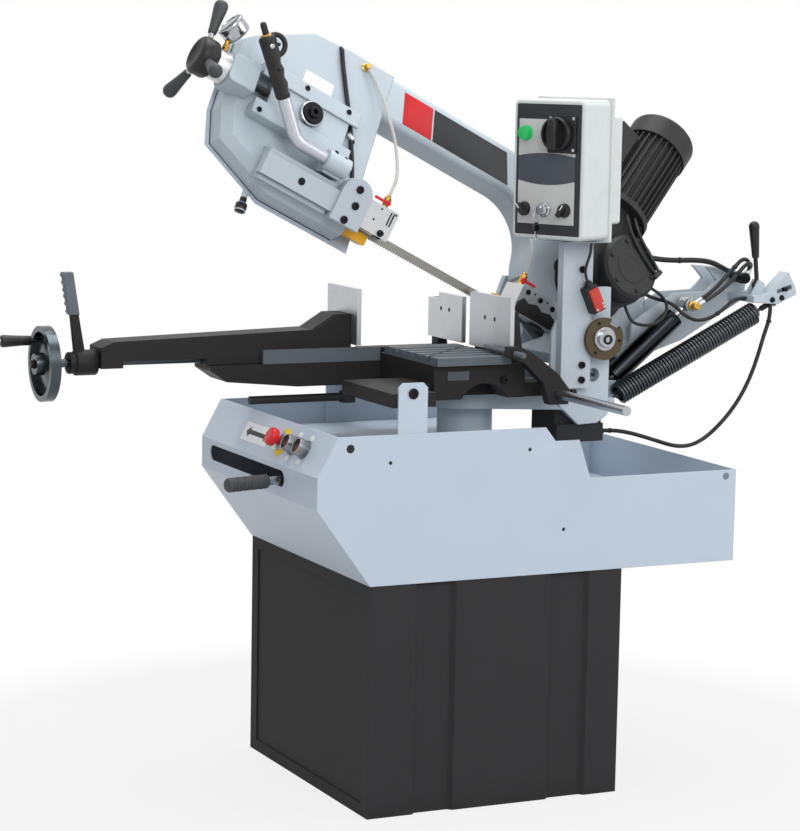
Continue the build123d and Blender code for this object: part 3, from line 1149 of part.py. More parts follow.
def make_bow_arm():
    """Arm and rear housing with the drive wheel well and the pivot bosses."""
    cast = Pos(0, 0, CAST_LEFT) * extrude(rear_outline(), CAST_BACK - CAST_LEFT, dir=UP)
    top = cast.faces().sort_by(Axis.Z)[-1]
    cast = fillet([edge for edge in top.edges() if edge.center().X > HOUSING_END + 5], ARM_EDGE)
    cast -= disc(REAR_P, WHEEL_Q, CAST_LEFT - 1, CAST_BACK - WEB, REAR_WELL_R)
    cast -= run_channel(HOUSING_END - 1, REAR_P, 2 * WHEEL_Q, 18)
    cast -= run_channel(REAR_P - REAR_HOUSING_R, REAR_P, 0, 16)
    cast -= disc(REAR_P, WHEEL_Q, CAST_BACK - WEB - 1, CAST_BACK + 1, SHAFT_R + 2)
    cast -= block(0, REAR_GUIDE_P[1] + 4, -60, 92, CAST_LEFT - 1, CAST_BACK + 1)
    body = on_wheels(cast)
    half = CHEEK_OUT - CHEEK_THICK - 2
    saddle = block(-half, half, PIVOT_Y - 41, PIVOT_Y + 41, PIVOT_Z - 70, PIVOT_Z - 26)
    for side in (1, -1):
        x0, x1 = sorted((side * half, side * (half - 52)))
        saddle += rod((x0, PIVOT_Y, PIVOT_Z), (x1, PIVOT_Y, PIVOT_Z), BOSS_R)
        saddle += block(x0, x1, PIVOT_Y - 34, PIVOT_Y + 34, PIVOT_Z - 50, PIVOT_Z)
        saddle -= rod((x0 - 1, PIVOT_Y, PIVOT_Z), (x1 + 1, PIVOT_Y, PIVOT_Z), PIVOT_R)
    well = disc(REAR_P, WHEEL_Q, CAST_LEFT - 40, CAST_BACK - WEB, REAR_WELL_R)
    well += block(REAR_P - REAR_HOUSING_R, REAR_P, -16, 16, CAST_LEFT - 40, CAST_BACK - WEB)
    body += on_bow(saddle) - on_wheels(well)
    return body


def make_wheel_covers():
    """Sheet covers on the left side of both housings, with the front cover's knob."""
    low, high = CAST_LEFT - COVER_THICK, CAST_LEFT
    points = front_outline(9)[1:]
    points = [(HOUSING_END + 45, -47), *points, (HOUSING_END, 60), (HOUSING_END + 45, -14)]
    front = prism_z(points, low, high)
    knob_p = FRONT_P - 42
    front += rod((knob_p, -30, low - 4), (knob_p, -62, low - 4), 7)
    front += rod((knob_p, -60, low - 4), (knob_p, -78, low - 4), 12)
    rear = Pos(0, 0, low) * extrude(rear_outline(), COVER_THICK, dir=UP)
    rear -= block(HOUSING_END, HOUSING_END + GAP, 0, ARM_TOP + 20, low - 1, high + 1)
    rear -= block(0, REAR_GUIDE_P[1] + 4, -60, 92, low - 1, high + 1)
    seated = on_wheels(rear) - NODES["bow_arm"]
    return Compound([on_wheels(front).solid(), seated.solids().sort_by(SortBy.VOLUME)[-1]])


def wheel(bore):
    """Flanged band wheel about the origin, with lightening holes."""
    half = WHEEL_WIDE / 2
    body = disc(0, 0, -half, half, WHEEL_R) - disc(0, 0, -half, half, WHEEL_R - 14)
    body += disc(0, 0, -4, 4, WHEEL_R - 10)
    body += disc(0, 0, -half - 2, half, 34)
    body += disc(0, 0, BLADE_WIDE / 2 + GAP, half + 2, WHEEL_R + 3) - disc(0, 0, 0, half + 3, WHEEL_R - 14)
    for index in range(6):
        turn = 2 * pi * index / 6
        reach = (WHEEL_R + 20) / 2
        body -= disc(reach * cos(turn), reach * sin(turn), -5, 5, 26)
    return body - disc(0, 0, -half - 3, half + 3, bore)


def make_idler_wheel():
    """Front wheel, running on the tension slide's axle."""
    return on_wheels(Pos(FRONT_P, WHEEL_Q, 0) * wheel(AXLE_R + RUN))


def make_drive_wheel():
    """Rear wheel on the gearbox output shaft."""
    shaft = disc(0, 0, -WHEEL_WIDE / 2 - 2, CAST_BACK + 60, SHAFT_R)
    return on_wheels(Pos(REAR_P, WHEEL_Q, 0) * (wheel(SHAFT_R - 1) + shaft))


# Blade

def blade_section(p, turn):
    """Blade cross section at p, turned from flat on the wheel towards upright."""
    plane = Plane(origin=(p, 0, 0), x_dir=(0, cos(radians(turn)), -sin(radians(turn))), z_dir=(1, 0, 0))
    return plane * Rectangle(BLADE_THICK, BLADE_WIDE)


def make_blade():
    """Endless blade: round both wheels, twisted upright between the guides, with its teeth."""
    inner, outer = WHEEL_R + WHEEL_GAP, WHEEL_R + WHEEL_GAP + BLADE_THICK
    half = BLADE_WIDE / 2
    band = None
    for centre, side in ((FRONT_P, -1), (REAR_P, 1)):
        ring = disc(centre, WHEEL_Q, -half, half, outer) - disc(centre, WHEEL_Q, -half, half, inner)
        p0, p1 = sorted((centre, centre + side * 2 * outer))
        ring &= block(p0, p1, -outer, 3 * outer, -half, half)
        band = ring if band is None else band + ring
    thin = BLADE_THICK / 2
    band += block(FRONT_P, REAR_P, 2 * WHEEL_Q - thin, 2 * WHEEL_Q + thin, -half, half)
    twist = 90 - TILT
    steps = 4
    front_end, rear_end = FRONT_GUIDE_P[0] - 4, REAR_GUIDE_P[1] + 4
    flat_front, flat_rear = FRONT_P + TWIST_START, REAR_P - TWIST_START
    band += block(FRONT_P, flat_front, -thin, thin, -half, half)
    band += block(flat_rear, REAR_P, -thin, thin, -half, half)
    for wheel_p, guide_p in ((flat_front, front_end), (flat_rear, rear_end)):
        places = [(wheel_p + (guide_p - wheel_p) * k / steps, -twist * k / steps) for k in range(steps + 1)]
        sections = [blade_section(p, turn) for p, turn in places]
        if wheel_p > guide_p:
            sections.reverse()
        band += loft(sections, ruled=True)
    return on_wheels(band) + on_bow(blade_run(front_end, rear_end))


def blade_run(y0, y1):
    """Upright cutting run with its row of teeth."""
    low, high = BLADE_Z - BLADE_WIDE / 2, BLADE_Z + BLADE_WIDE / 2
    count = int((y1 - y0) / TOOTH_PITCH)
    pitch = (y1 - y0) / count
    points = [(y0, high), (y0, low)]
    for index in range(count):
        y = y0 + pitch * index
        root = low + TOOTH_DEEP
        points += [(y + pitch * 0.3, root), (y + pitch * 0.55, root), (y + pitch, low)]
    points.append((y1, high))
    return prism_x(points, -BLADE_THICK / 2, BLADE_THICK / 2)


# Tension unit

def make_tension_slide():
    """Slide between the rails, with the idler axle and its cap."""
    top = CAST_BACK + 26 - SLIDE
    body = block(SLIDE_P[0], SLIDE_P[1] - TENSION_TRAVEL, WHEEL_Q - SLIDE_HALF, WHEEL_Q + SLIDE_HALF,
                 CAST_BACK + SLIDE, top)
    body += disc(FRONT_P, WHEEL_Q, -WHEEL_WIDE / 2 - 8, CAST_BACK + 10, AXLE_R)
    body += disc(FRONT_P, WHEEL_Q, -WHEEL_WIDE / 2 - 8, -WHEEL_WIDE / 2 - 2 - SLIDE, AXLE_R + 6)
    cap = disc(FRONT_P, WHEEL_Q, top - 1, top + 18, 23)
    cap -= disc(FRONT_P, WHEEL_Q, top + 8, top + 19, 9)
    return on_wheels(body + cap)


def make_tension_handle():
    """Three-spoke tension handle with its screw."""
    hub = rod((HUB_P - 44, WHEEL_Q, TENSION_N), (HUB_P, WHEEL_Q, TENSION_N), 42)
    hub = fillet(hub.edges().filter_by(GeomType.CIRCLE), 8)
    hub += rod((HUB_P - 2, WHEEL_Q, TENSION_N), (SLIDE_P[0] - GAP, WHEEL_Q, TENSION_N), 8)
    for index in range(3):
        turn = radians(96 + 120 * index)
        aim = (HUB_P - 30, WHEEL_Q + 200 * cos(turn - pi / 2), TENSION_N + 200 * sin(turn - pi / 2))
        middle = (HUB_P - 22, WHEEL_Q, TENSION_N)
        hub += rod(along(middle, aim, 36), along(middle, aim, 60), 6)
        grip = taper(along(middle, aim, 54), along(middle, aim, 118), 9.5, 15)
        hub += grip + Plane(origin=along(middle, aim, 116)).location * Sphere(15.2)
    return on_wheels(hub)


def make_tension_gauge():
    """Collar behind the hub with the tension gauge standing on it."""
    nose = NOSE_P
    collar = rod((HUB_P + GAP, WHEEL_Q, TENSION_N), (nose, WHEEL_Q, TENSION_N), 34)
    collar -= rod((HUB_P, WHEEL_Q, TENSION_N), (nose + 1, WHEEL_Q, TENSION_N), 8 + RUN)
    middle_p = (HUB_P + nose) / 2
    base = (middle_p, WHEEL_Q + 28, TENSION_N + 6)
    top = (middle_p - 4, WHEEL_Q + 62, TENSION_N + 14)
    stem = rod(base, top, 6)
    back = (middle_p + 16, WHEEL_Q + 76, TENSION_N + 16)
    dial = rod(back, (middle_p - 16, WHEEL_Q + 88, TENSION_N + 20), 30)
    return on_wheels(collar + stem + dial)


# Guides

def make_guide_bar():
    """Guide bar and the end plate on it."""
    x0, x1 = GUIDE_BAR_X
    bar = block(x0, x1, GUIDE_BAR_Y[0], PLATE_Y[0] + 20, GUIDE_BAR_Z[0], GUIDE_BAR_Z[1])
    x0, x1 = x0 + 8, x1 + 8
    plate = block(x0, x1, PLATE_Y[0], PLATE_Y[1], BLADE_Z - 18, BLADE_Z + 50)
    middle = (PLATE_Y[0] + PLATE_Y[1]) / 2
    plate += rod((x0, middle, BLADE_Z + 50), (x1, middle, BLADE_Z + 50), (PLATE_Y[1] - PLATE_Y[0]) / 2)
    return on_bow(bar + plate)


def guide_jaw(y0, y1, x0, x1):
    """Guide block that straddles the blade."""
    body = block(x0, x1, y0, y1, TABLE_TOP + 3, GUIDE_TOP)
    slot = BLADE_THICK / 2 + SLIDE
    return body - block(-slot, slot, y0, y1, TABLE_TOP, BLADE_Z + BLADE_WIDE / 2 + SLIDE)


def tap_body(x, y, z):
    """Brass coolant tap standing on a guide, with its hose nipple on top."""
    return disc(x, y, z, z + 22, 7) + disc(x, y, z + 21, z + TAP_HIGH, 4)


def tap_lever(x, y, z, reach):
    """Small lever on the right of a tap."""
    near = x + 7 + GAP
    lever = rod((near, y, z + 12), (near + 6, y, z + 12), 6)
    y0, y1 = sorted((y, y + reach))
    return lever + block(near + 2, near + 5, y0, y1, z + 9, z + 15)


def make_front_guide():
    """Front guide on the end plate, with its coolant tap."""
    y0, y1 = FRONT_GUIDE_P
    x1 = GUIDE_BAR_X[0] + 8
    body = guide_jaw(y0, y1, -22, x1)
    body += block(18, x1, HOUSING_END + 2, y0 + 1, BLADE_Z + 6, BLADE_Z + 58)
    tap = tap_body(TAP_X, FRONT_TAP_Y, GUIDE_TOP)
    return Compound([on_bow(body).solid(), on_bow(tap).solid()])


def make_rear_guide():
    """Rear guide on the rear housing, with its coolant tap."""
    y0, y1 = REAR_GUIDE_P
    body = guide_jaw(y0, y1, -22, 56)
    body += block(34, 56, y1 - 1, y1 + 84, BLADE_Z + 4, GUIDE_TOP)
    body += block(12, 50, y0 + 6, y1, BLADE_Z - 24, BLADE_Z + 4)
    body -= block(-4, 4, y0, y1, BLADE_Z - 30, BLADE_Z + 4)
    tap = tap_body(TAP_X, REAR_TAP_Y, GUIDE_TOP)
    housing = NODES["bow_arm"]
    return Compound([(on_bow(body) - housing).solids().sort_by(SortBy.VOLUME)[-1], on_bow(tap).solid()])


def make_blade_guards():
    """Yellow blade guards beside the guides."""
    y0 = HOUSING_END
    front = block(-14, 22, y0, FRONT_GUIDE_P[0] + 40, BLADE_Z - 28, BLADE_Z - 24)
    front += block(18, 22, y0, FRONT_GUIDE_P[0] + 40, BLADE_Z - 28, BLADE_Z - 6)
    y1 = REAR_GUIDE_P[0]
    rear = block(-12, 14, y1 - 28, y1, BLADE_Z + 20, BLADE_Z + 24)
    rear += block(10, 14, y1 - 28, y1, BLADE_Z + 6, BLADE_Z + 24)
    return Compound([on_bow(front).solid(), on_bow(rear).solid()])


# Pull handle

def make_handle_tube():
    """Bent tube from the boss to the grip."""
    start = (BOSS_X, BOSS_Y[1], BOSS_Z)
    corner = (BOSS_X, GRIP_FROM[0] + (GRIP_FROM[1] - BOSS_Z), BOSS_Z)
    path = FilletPolyline(start, corner, (BOSS_X, GRIP_FROM[0], GRIP_FROM[1]), radius=TUBE_BEND)
    tube = sweep(Plane(origin=start, z_dir=(0, -1, 0)) * Circle(TUBE_R), path=path)
    return on_bow(tube)


def grip_point(share, off=0.0):
    """A point along the grip's axis, with an offset to the back."""
    y = GRIP_FROM[0] + (GRIP_TO[0] - GRIP_FROM[0]) * share
    z = GRIP_FROM[1] + (GRIP_TO[1] - GRIP_FROM[1]) * share
    return (BOSS_X, y + off * 0.7, z + off * 0.7)


def make_handle_grip():
    """Finger grip with its guard loop and top post."""
    grip = rod(grip_point(0), grip_point(1), GRIP_R)
    for share in (0.12, 0.3, 0.48):
        ring = Plane(origin=grip_point(share, GRIP_R + 2), z_dir=(1, 0, 0)).location * Cylinder(8, 60)
        grip -= ring
    grip += rod(grip_point(0.98), grip_point(1.2), 7)
    loop = Plane(origin=grip_point(0.82, GRIP_R + 4), z_dir=(1, 0, 0)).location * Torus(20, 6)
    inside = Plane(origin=grip_point(0.82, GRIP_R + 6), z_dir=(1, 0, 0)).location * Cylinder(13.5, 60)
    stem = rod(grip_point(0.82, 0), grip_point(0.82, TRIGGER_OUT), TRIGGER_STEM + RUN)
    return on_bow(grip + loop - inside - stem)


def make_handle_trigger():
    """Trigger inside the guard loop."""
    trigger = Plane(origin=grip_point(0.82, TRIGGER_OUT), z_dir=(1, 0, 0)).location * Cylinder(4, 12)
    return on_bow(trigger + rod(grip_point(0.82, TRIGGER_OUT), grip_point(0.82, 5), TRIGGER_STEM))


# Drive

def motor_place(s, off=0.0, n=MOTOR_N):
    """A point on the motor axis in the wheel frame, s along it and off to the front."""
    turn = radians(MOTOR_ANGLE)
    side = WORM_OFFSET + off
    return (REAR_P + side * sin(turn) + s * cos(turn), WHEEL_Q - side * cos(turn) + s * sin(turn), n)


def make_gearbox():
    """Worm gearbox on the back of the rear housing."""
    body = disc(REAR_P, WHEEL_Q, CAST_BACK, CAST_BACK + 14, GEAR_R + 14)
    body += disc(REAR_P, WHEEL_Q, CAST_BACK, CAST_BACK + 112, GEAR_R)
    cover = disc(REAR_P, WHEEL_Q, CAST_BACK + 111, CAST_BACK + GEAR_COVER_OUT, GEAR_COVER_R)
    body += chamfer(cover.edges().group_by(Axis.Z)[-1], 7)
    body += rod(motor_place(-70), motor_place(MOTOR_FLANGE_S), WORM_R)
    body += rod(motor_place(-78), motor_place(-68), WORM_R - 12)
    return on_wheels(body - disc(REAR_P, WHEEL_Q, CAST_BACK - 1, CAST_BACK + 61, SHAFT_R + RUN))


def make_motor():
    """Finned motor with its flange, fan cowl and terminal box."""
    s0, s1 = MOTOR_BODY_S
    core = MOTOR_R - 9
    body = rod(motor_place(MOTOR_FLANGE_S), motor_place(s0), MOTOR_R + 6)
    body += rod(motor_place(s0), motor_place(s1), core)
    fins = MOTOR_FINS
    fin_face = None
    for index in range(fins):
        bar = Rot(0, 0, 360 * index / fins) * (Pos(MOTOR_R - 6, 0) * Rectangle(12, 3.4))
        fin_face = bar if fin_face is None else fin_face + bar
    axis = Vector(*motor_place(1)) - Vector(*motor_place(0))
    seat = Plane(origin=motor_place(s0 + 4), x_dir=(0, 0, 1), z_dir=axis)
    body += seat.location * extrude(fin_face, s1 - s0 - 4, dir=UP)
    cowl = rod(motor_place(s1), motor_place(MOTOR_END_S), MOTOR_R + 3)
    end_edge = cowl.edges().filter_by(GeomType.CIRCLE).sort_by(Axis.Y)[-1]
    body += fillet(end_edge, 14)
    box = Pos(MOTOR_R - 4 + 24, 0, (s1 - s0) * 0.62) * Box(52, 84, 92)
    side = Plane(origin=motor_place(s0), x_dir=(-sin(radians(MOTOR_ANGLE)), cos(radians(MOTOR_ANGLE)), 0),
                 z_dir=axis)
    return on_wheels(body + side.location * box)


# Pivot shafts and tail

def make_pivot_shafts():
    """Two stub shafts in the cheeks, the right one with its cam disc."""
    half = CHEEK_OUT - CHEEK_THICK - 2
    out = CHEEK_OUT + BRACKET_DEEP + 4
    right = rod((half - 52, PIVOT_Y, PIVOT_Z), (out + 20, PIVOT_Y, PIVOT_Z), PIVOT_R)
    cam = rod((out, PIVOT_Y, PIVOT_Z), (out + 8, PIVOT_Y, PIVOT_Z), CAM_R)
    cam -= block(out - 1, out + 9, PIVOT_Y - 4, PIVOT_Y + 22, PIVOT_Z + CAM_R - 12, PIVOT_Z + CAM_R + 2)
    left = rod((-CHEEK_OUT - 6, PIVOT_Y, PIVOT_Z), (-half + 52, PIVOT_Y, PIVOT_Z), PIVOT_R)
    return Compound([on_bow(right + cam).solid(), on_bow(left).solid()])


def make_tail_arms():
    """Two tail plates with cross plate, cylinder pin, spring beam, end bracket and eyebolts."""
    tail = from_pivot(TAIL_AT)
    body = prism_x(tail, TAIL_X[0], TAIL_X[0] + TAIL_PLATE)
    body += prism_x(tail, TAIL_X[1] - TAIL_PLATE, TAIL_X[1])
    body += prism_x(from_pivot(CROSS_PLATE_AT), TAIL_X[0], TAIL_X[1])
    pin_y, pin_z = CYL_PIN_YZ
    eye_end = CYL_X + CYL_EYE_HALF
    body += rod((TAIL_X[0], pin_y, pin_z), (eye_end + 6, pin_y, pin_z), 7)
    body += rod((eye_end + 2, pin_y, pin_z), (eye_end + 6, pin_y, pin_z), 7 + 2 * PIN_PLAY)
    low, high = SPRING_X[1] - BEAM_END, SPRING_X[0] + BEAM_END
    body += prism_x(from_pivot(BEAM_AT), low, high)
    body += prism_x(from_pivot(END_BRACKET_AT), BRACKET_X, high)
    body -= prism_x(from_pivot(BRACKET_SLOT_AT), BRACKET_X - 1, high + 1)
    y, z = VALVE_YZ
    ear = from_pivot(EAR_AT) + [(y + 9, z + 10), (y - 9, z + 10)]
    for x0, x1 in ((VALVE_X[0] - 6, VALVE_X[0] - GAP), (VALVE_X[1] + GAP, VALVE_X[1] + 6)):
        body += prism_x(ear, x0, x1)
    body += rod((VALVE_X[0] - 6, y, z), (VALVE_X[1] + 6, y, z), 5)
    eye_y, eye_z = EYE_YZ
    bar_y, bar_z = lowered_point(SPRING_BAR_Y, SPRING_BAR_Z)
    for x in SPRING_X:
        eye = (x, eye_y, eye_z)
        body += rod(eye, along(eye, (x, bar_y, bar_z), -96), 6)
    seat = NODES["bow_arm"] + NODES["gearbox"]
    return (on_bow(body) - seat).solids().sort_by(SortBy.VOLUME)[-1]


def make_valve_lever():
    """Feed valve lever with its grip, on a pin between the ears of the end bracket."""
    x = (VALVE_X[0] + VALVE_X[1]) / 2
    low = (x, VALVE_YZ[0], VALVE_YZ[1])
    high = (x, VALVE_YZ[0] - VALVE_LEAN[0], VALVE_YZ[1] + VALVE_LEAN[1])
    lever = rod((VALVE_X[0], low[1], low[2]), (VALVE_X[1], low[1], low[2]), 9)
    lever += rod(along(low, high, 7), along(low, high, 90), 5)
    lever += taper(along(low, high, 62), along(low, high, 132), 8, 12)
    lever += Pos(*along(low, high, 132)) * Sphere(12.2)
    bore = rod((VALVE_X[0] - 1, low[1], low[2]), (VALVE_X[1] + 1, low[1], low[2]), 5 + RUN)
    return on_bow(lever - bore)


# Cords

def cord(points, radius):
    """A cable along straight runs joined by tangent arcs as large as the runs allow."""
    radii = []
    for before, here, after in zip(points, points[1:], points[2:]):
        one, two = Vector(*here) - Vector(*before), Vector(*after) - Vector(*here)
        half_turn = radians(one.get_angle(two) / 2)
        radii.append(0.45 * min(one.length, two.length) / tan(half_turn))
    path = FilletPolyline(*points, radius=radii)
    start = Vector(*points[1]) - Vector(*points[0])
    tube = sweep(Plane(origin=points[0], z_dir=start) * Circle(radius), path=path)
    share = tube.volume / (pi * radius ** 2 * path.length)
    print("cord radii", [round(value) for value in radii], "length", round(path.length),
          "volume over section times length", round(share, 3))
    return tube


def make_tail_cables():
    """Cable from the pedestal's gland that hangs behind and climbs to the tail bracket."""
    gland_x, gland_y, gland_z = gland_place()
    end_x = BRACKET_X + 28
    count = len(TAIL_CABLE_AT)
    points = [(gland_x, gland_y, gland_z), (gland_x, gland_y + 24, gland_z)]
    for index, (away, up) in enumerate(TAIL_CABLE_AT):
        points.append((gland_x + (end_x - gland_x) * index / count, gland_y + away, gland_z + up))
    y, z = gland_y + TAIL_CABLE_END[0], gland_z + TAIL_CABLE_END[1]
    points += [(end_x, y, z - 30), (end_x, y, z)]
    return cord(points, TAIL_CABLE_R)


def gear_point(angle, n, out):
    """A point out from the gearbox drum, in the cutting pose."""
    turn = radians(angle)
    reach = GEAR_R + out
    return wheel_point(REAR_P + reach * cos(turn), WHEEL_Q + reach * sin(turn), n)


def hose_outlet(p, q, angle):
    """Where a hose leaves the side of its fitting, in the cutting pose."""
    turn = radians(angle)
    reach = FITTING_R + TOUCH
    return wheel_point(p + reach * cos(turn), q + reach * sin(turn), FITTING_N - 5)


def make_bow_cables():
    """Cables and coolant hoses that ride on the bow, with the feed valve and the hose fittings."""
    valve_y, valve_z = VALVE_BODY_YZ
    valve = rod((TAIL_X[1], valve_y, valve_z), (TAIL_X[1] + VALVE_LONG, valve_y, valve_z), VALVE_R)
    slack = cord([gear_point(0, 110, TOUCH), gear_point(0, 110, 40),
                  *from_place(PIVOT_Y, PIVOT_Z, SLACK_AT)], SLACK_R)
    plug = (SUPPLY_AT[-1][0], valve_y - VALVE_R - TOUCH, valve_z)
    supply = cord([gear_point(50, 100, TOUCH), gear_point(50, 100, 38),
                   *from_place(PIVOT_Y, PIVOT_Z, SUPPLY_AT), plug], SUPPLY_R)
    loop = cord([gear_point(8, 125, TOUCH), gear_point(8, 125, 40), *from_place(PIVOT_Y, PIVOT_Z, LOOP_AT),
                 gear_point(-50, 125, 30), gear_point(-50, 125, TOUCH)], LOOP_R)
    tap_z = GUIDE_TOP + TAP_HIGH
    front_p, front_q = FRONT_P + FRONT_FITTING[0], ARM_TOP - FRONT_FITTING[1]
    front = cord([hose_outlet(front_p, front_q, -40), *from_place(FRONT_TAP_Y, BLADE_Z, FRONT_HOSE_AT),
                  (TAP_X, FRONT_TAP_Y - 2, tap_z + 42), (TAP_X, FRONT_TAP_Y, tap_z + 20),
                  (TAP_X, FRONT_TAP_Y, tap_z + GAP)], HOSE_R)
    rear_p, rear_q = REAR_P - REAR_FITTING[0], ARM_LOW - REAR_FITTING[1]
    rear = cord([(TAP_X, REAR_TAP_Y, tap_z), (TAP_X, REAR_TAP_Y, tap_z + 25),
                 *from_place(REAR_TAP_Y, BLADE_Z, REAR_HOSE_AT), hose_outlet(rear_p, rear_q, -70)], HOSE_R)
    pieces = [on_bow(piece).solid() for piece in (valve, slack, supply, loop, front, rear)]
    for p, q in ((front_p, front_q), (rear_p, rear_q)):
        pieces.append(on_wheels(disc(p, q, CAST_BACK, FITTING_N, FITTING_R)).solid())
    return Compound(pieces)


NODES = {}


def build():
    """Make every piece, in an order that lets later ones seat on earlier ones."""
    NODES["cabinet"] = make_cabinet()
    NODES["cabinet_front_panel"] = make_cabinet_front_panel()
    NODES["coolant_unit"] = make_coolant_unit()
    NODES["tray"] = make_tray()
    NODES["tray_brackets"] = make_tray_brackets()
    NODES["panel_collars"] = make_panel_collars()
    NODES["estop_button"] = make_estop_button()
    NODES["start_button"] = make_guarded_button(BUTTON_X[0])
    NODES["stop_button"] = make_guarded_button(BUTTON_X[1])
    NODES["vise_base"] = make_vise_base()
    NODES["table"] = make_table()
    NODES["fixed_jaws"] = make_fixed_jaws()
    NODES["vise_beam"] = make_vise_beam()
    NODES["moving_jaw"] = make_moving_jaw()
    NODES["handwheel"] = make_handwheel()
    NODES["crank_handle"] = make_crank_handle()
    NODES["vise_lock_lever"] = make_vise_lock_lever()
    NODES["vise_shift_lever"] = make_vise_shift_lever()
    NODES["stop_rod"] = make_stop_rod()
    NODES["stop_arm"] = make_stop_arm()
    NODES["mitre_lever"] = make_mitre_lever()
    NODES["turret"] = make_turret()
    NODES["pedestal_block"] = make_pedestal_block()
    NODES["control_bracket"] = make_control_bracket()
    NODES["control_box"] = make_control_box()
    NODES["main_switch"] = make_main_switch()
    NODES["selector_left"] = make_selector(SELECTOR_X[0])
    NODES["selector_right"] = make_selector(SELECTOR_X[1])
    NODES["key_switch"] = make_key_switch()
    NODES["pilot_lamp"] = make_pilot_lamp()
    NODES["limit_switch"] = make_limit_switch()
    NODES["spring_right"] = make_spring(SPRING_X[0])
    NODES["spring_left"] = make_spring(SPRING_X[1])
    NODES["cylinder_barrel"] = make_cylinder_barrel()
    NODES["cylinder_rod"] = make_cylinder_rod()
    NODES["front_housing"] = make_front_housing()
    NODES["bow_arm"] = make_bow_arm()
    NODES["wheel_covers"] = make_wheel_covers()
    NODES["idler_wheel"] = make_idler_wheel()
    NODES["drive_wheel"] = make_drive_wheel()
    NODES["blade"] = make_blade()
    NODES["tension_slide"] = make_tension_slide()
    NODES["tension_handle"] = make_tension_handle()
    NODES["tension_gauge"] = make_tension_gauge()
    NODES["guide_bar"] = make_guide_bar()
    NODES["front_guide"] = make_front_guide()
    NODES["front_tap_lever"] = on_bow(tap_lever(TAP_X, FRONT_TAP_Y, GUIDE_TOP, -34))
    NODES["rear_guide"] = make_rear_guide()
    NODES["rear_tap_lever"] = on_bow(tap_lever(TAP_X, REAR_TAP_Y, GUIDE_TOP, 30))
    NODES["blade_guards"] = make_blade_guards()
    NODES["handle_tube"] = make_handle_tube()
    NODES["handle_grip"] = make_handle_grip()
    NODES["handle_trigger"] = make_handle_trigger()
    NODES["gearbox"] = make_gearbox()
    NODES["motor"] = make_motor()
    NODES["pivot_shafts"] = make_pivot_shafts()
    NODES["tail_arms"] = make_tail_arms()
    NODES["valve_lever"] = make_valve_lever()
    NODES["tail_cables"] = make_tail_cables()
    NODES["bow_cables"] = make_bow_cables()


def main():
    """Build the saw and write one STEP file per piece."""
    build()
    os.makedirs("parts", exist_ok=True)
    for name, shape in NODES.items():
        export_step(shape, f"parts/{name}.step")


main()
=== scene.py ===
"""Looks of a metal cutting band saw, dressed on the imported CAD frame.

Sizes are written in millimetres and become metres once, in Place.points. In the machine frame +X is
the operator's right, +Y runs to the back and +Z is up. The bow is drawn level, in its cutting pose,
and Place BOW raises it; Place WHEELS has p along the bow, q up in the tilted wheel plane and n out of it.
"""
from __future__ import annotations

import logging
from dataclasses import dataclass
from enum import Enum
from math import cos, pi, radians, sin

import bmesh
import bpy
import numpy as np
from mathutils import Matrix

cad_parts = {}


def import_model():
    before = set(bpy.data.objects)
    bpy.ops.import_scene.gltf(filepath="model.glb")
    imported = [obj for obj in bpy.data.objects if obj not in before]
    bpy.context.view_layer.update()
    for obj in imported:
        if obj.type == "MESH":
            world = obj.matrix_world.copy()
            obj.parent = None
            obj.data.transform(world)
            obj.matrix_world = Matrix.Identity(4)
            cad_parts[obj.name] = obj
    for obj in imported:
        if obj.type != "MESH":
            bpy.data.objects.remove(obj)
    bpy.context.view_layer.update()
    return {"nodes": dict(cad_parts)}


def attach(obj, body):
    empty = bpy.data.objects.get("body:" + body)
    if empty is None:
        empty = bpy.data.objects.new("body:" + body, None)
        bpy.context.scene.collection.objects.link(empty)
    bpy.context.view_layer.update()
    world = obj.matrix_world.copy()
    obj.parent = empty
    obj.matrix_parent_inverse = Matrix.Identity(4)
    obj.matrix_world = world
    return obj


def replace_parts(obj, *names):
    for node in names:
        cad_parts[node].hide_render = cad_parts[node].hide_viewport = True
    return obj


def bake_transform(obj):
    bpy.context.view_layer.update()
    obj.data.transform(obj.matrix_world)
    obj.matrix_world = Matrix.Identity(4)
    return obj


LOG = logging.getLogger("saw")
MM = 0.001
SHARP = radians(38.0)  # edges that turn more stay sharp
Array = np.ndarray
Vec = tuple[float, float, float]


def unit(rows: Array) -> Array:
    """Vectors of length one along the given ones.

    Args:
        rows: One vector or an array of them.

    Returns:
        The same directions with length one.
    """
    rows = np.asarray(rows, float)
    return rows / np.linalg.norm(rows, axis=-1, keepdims=True)


# Places


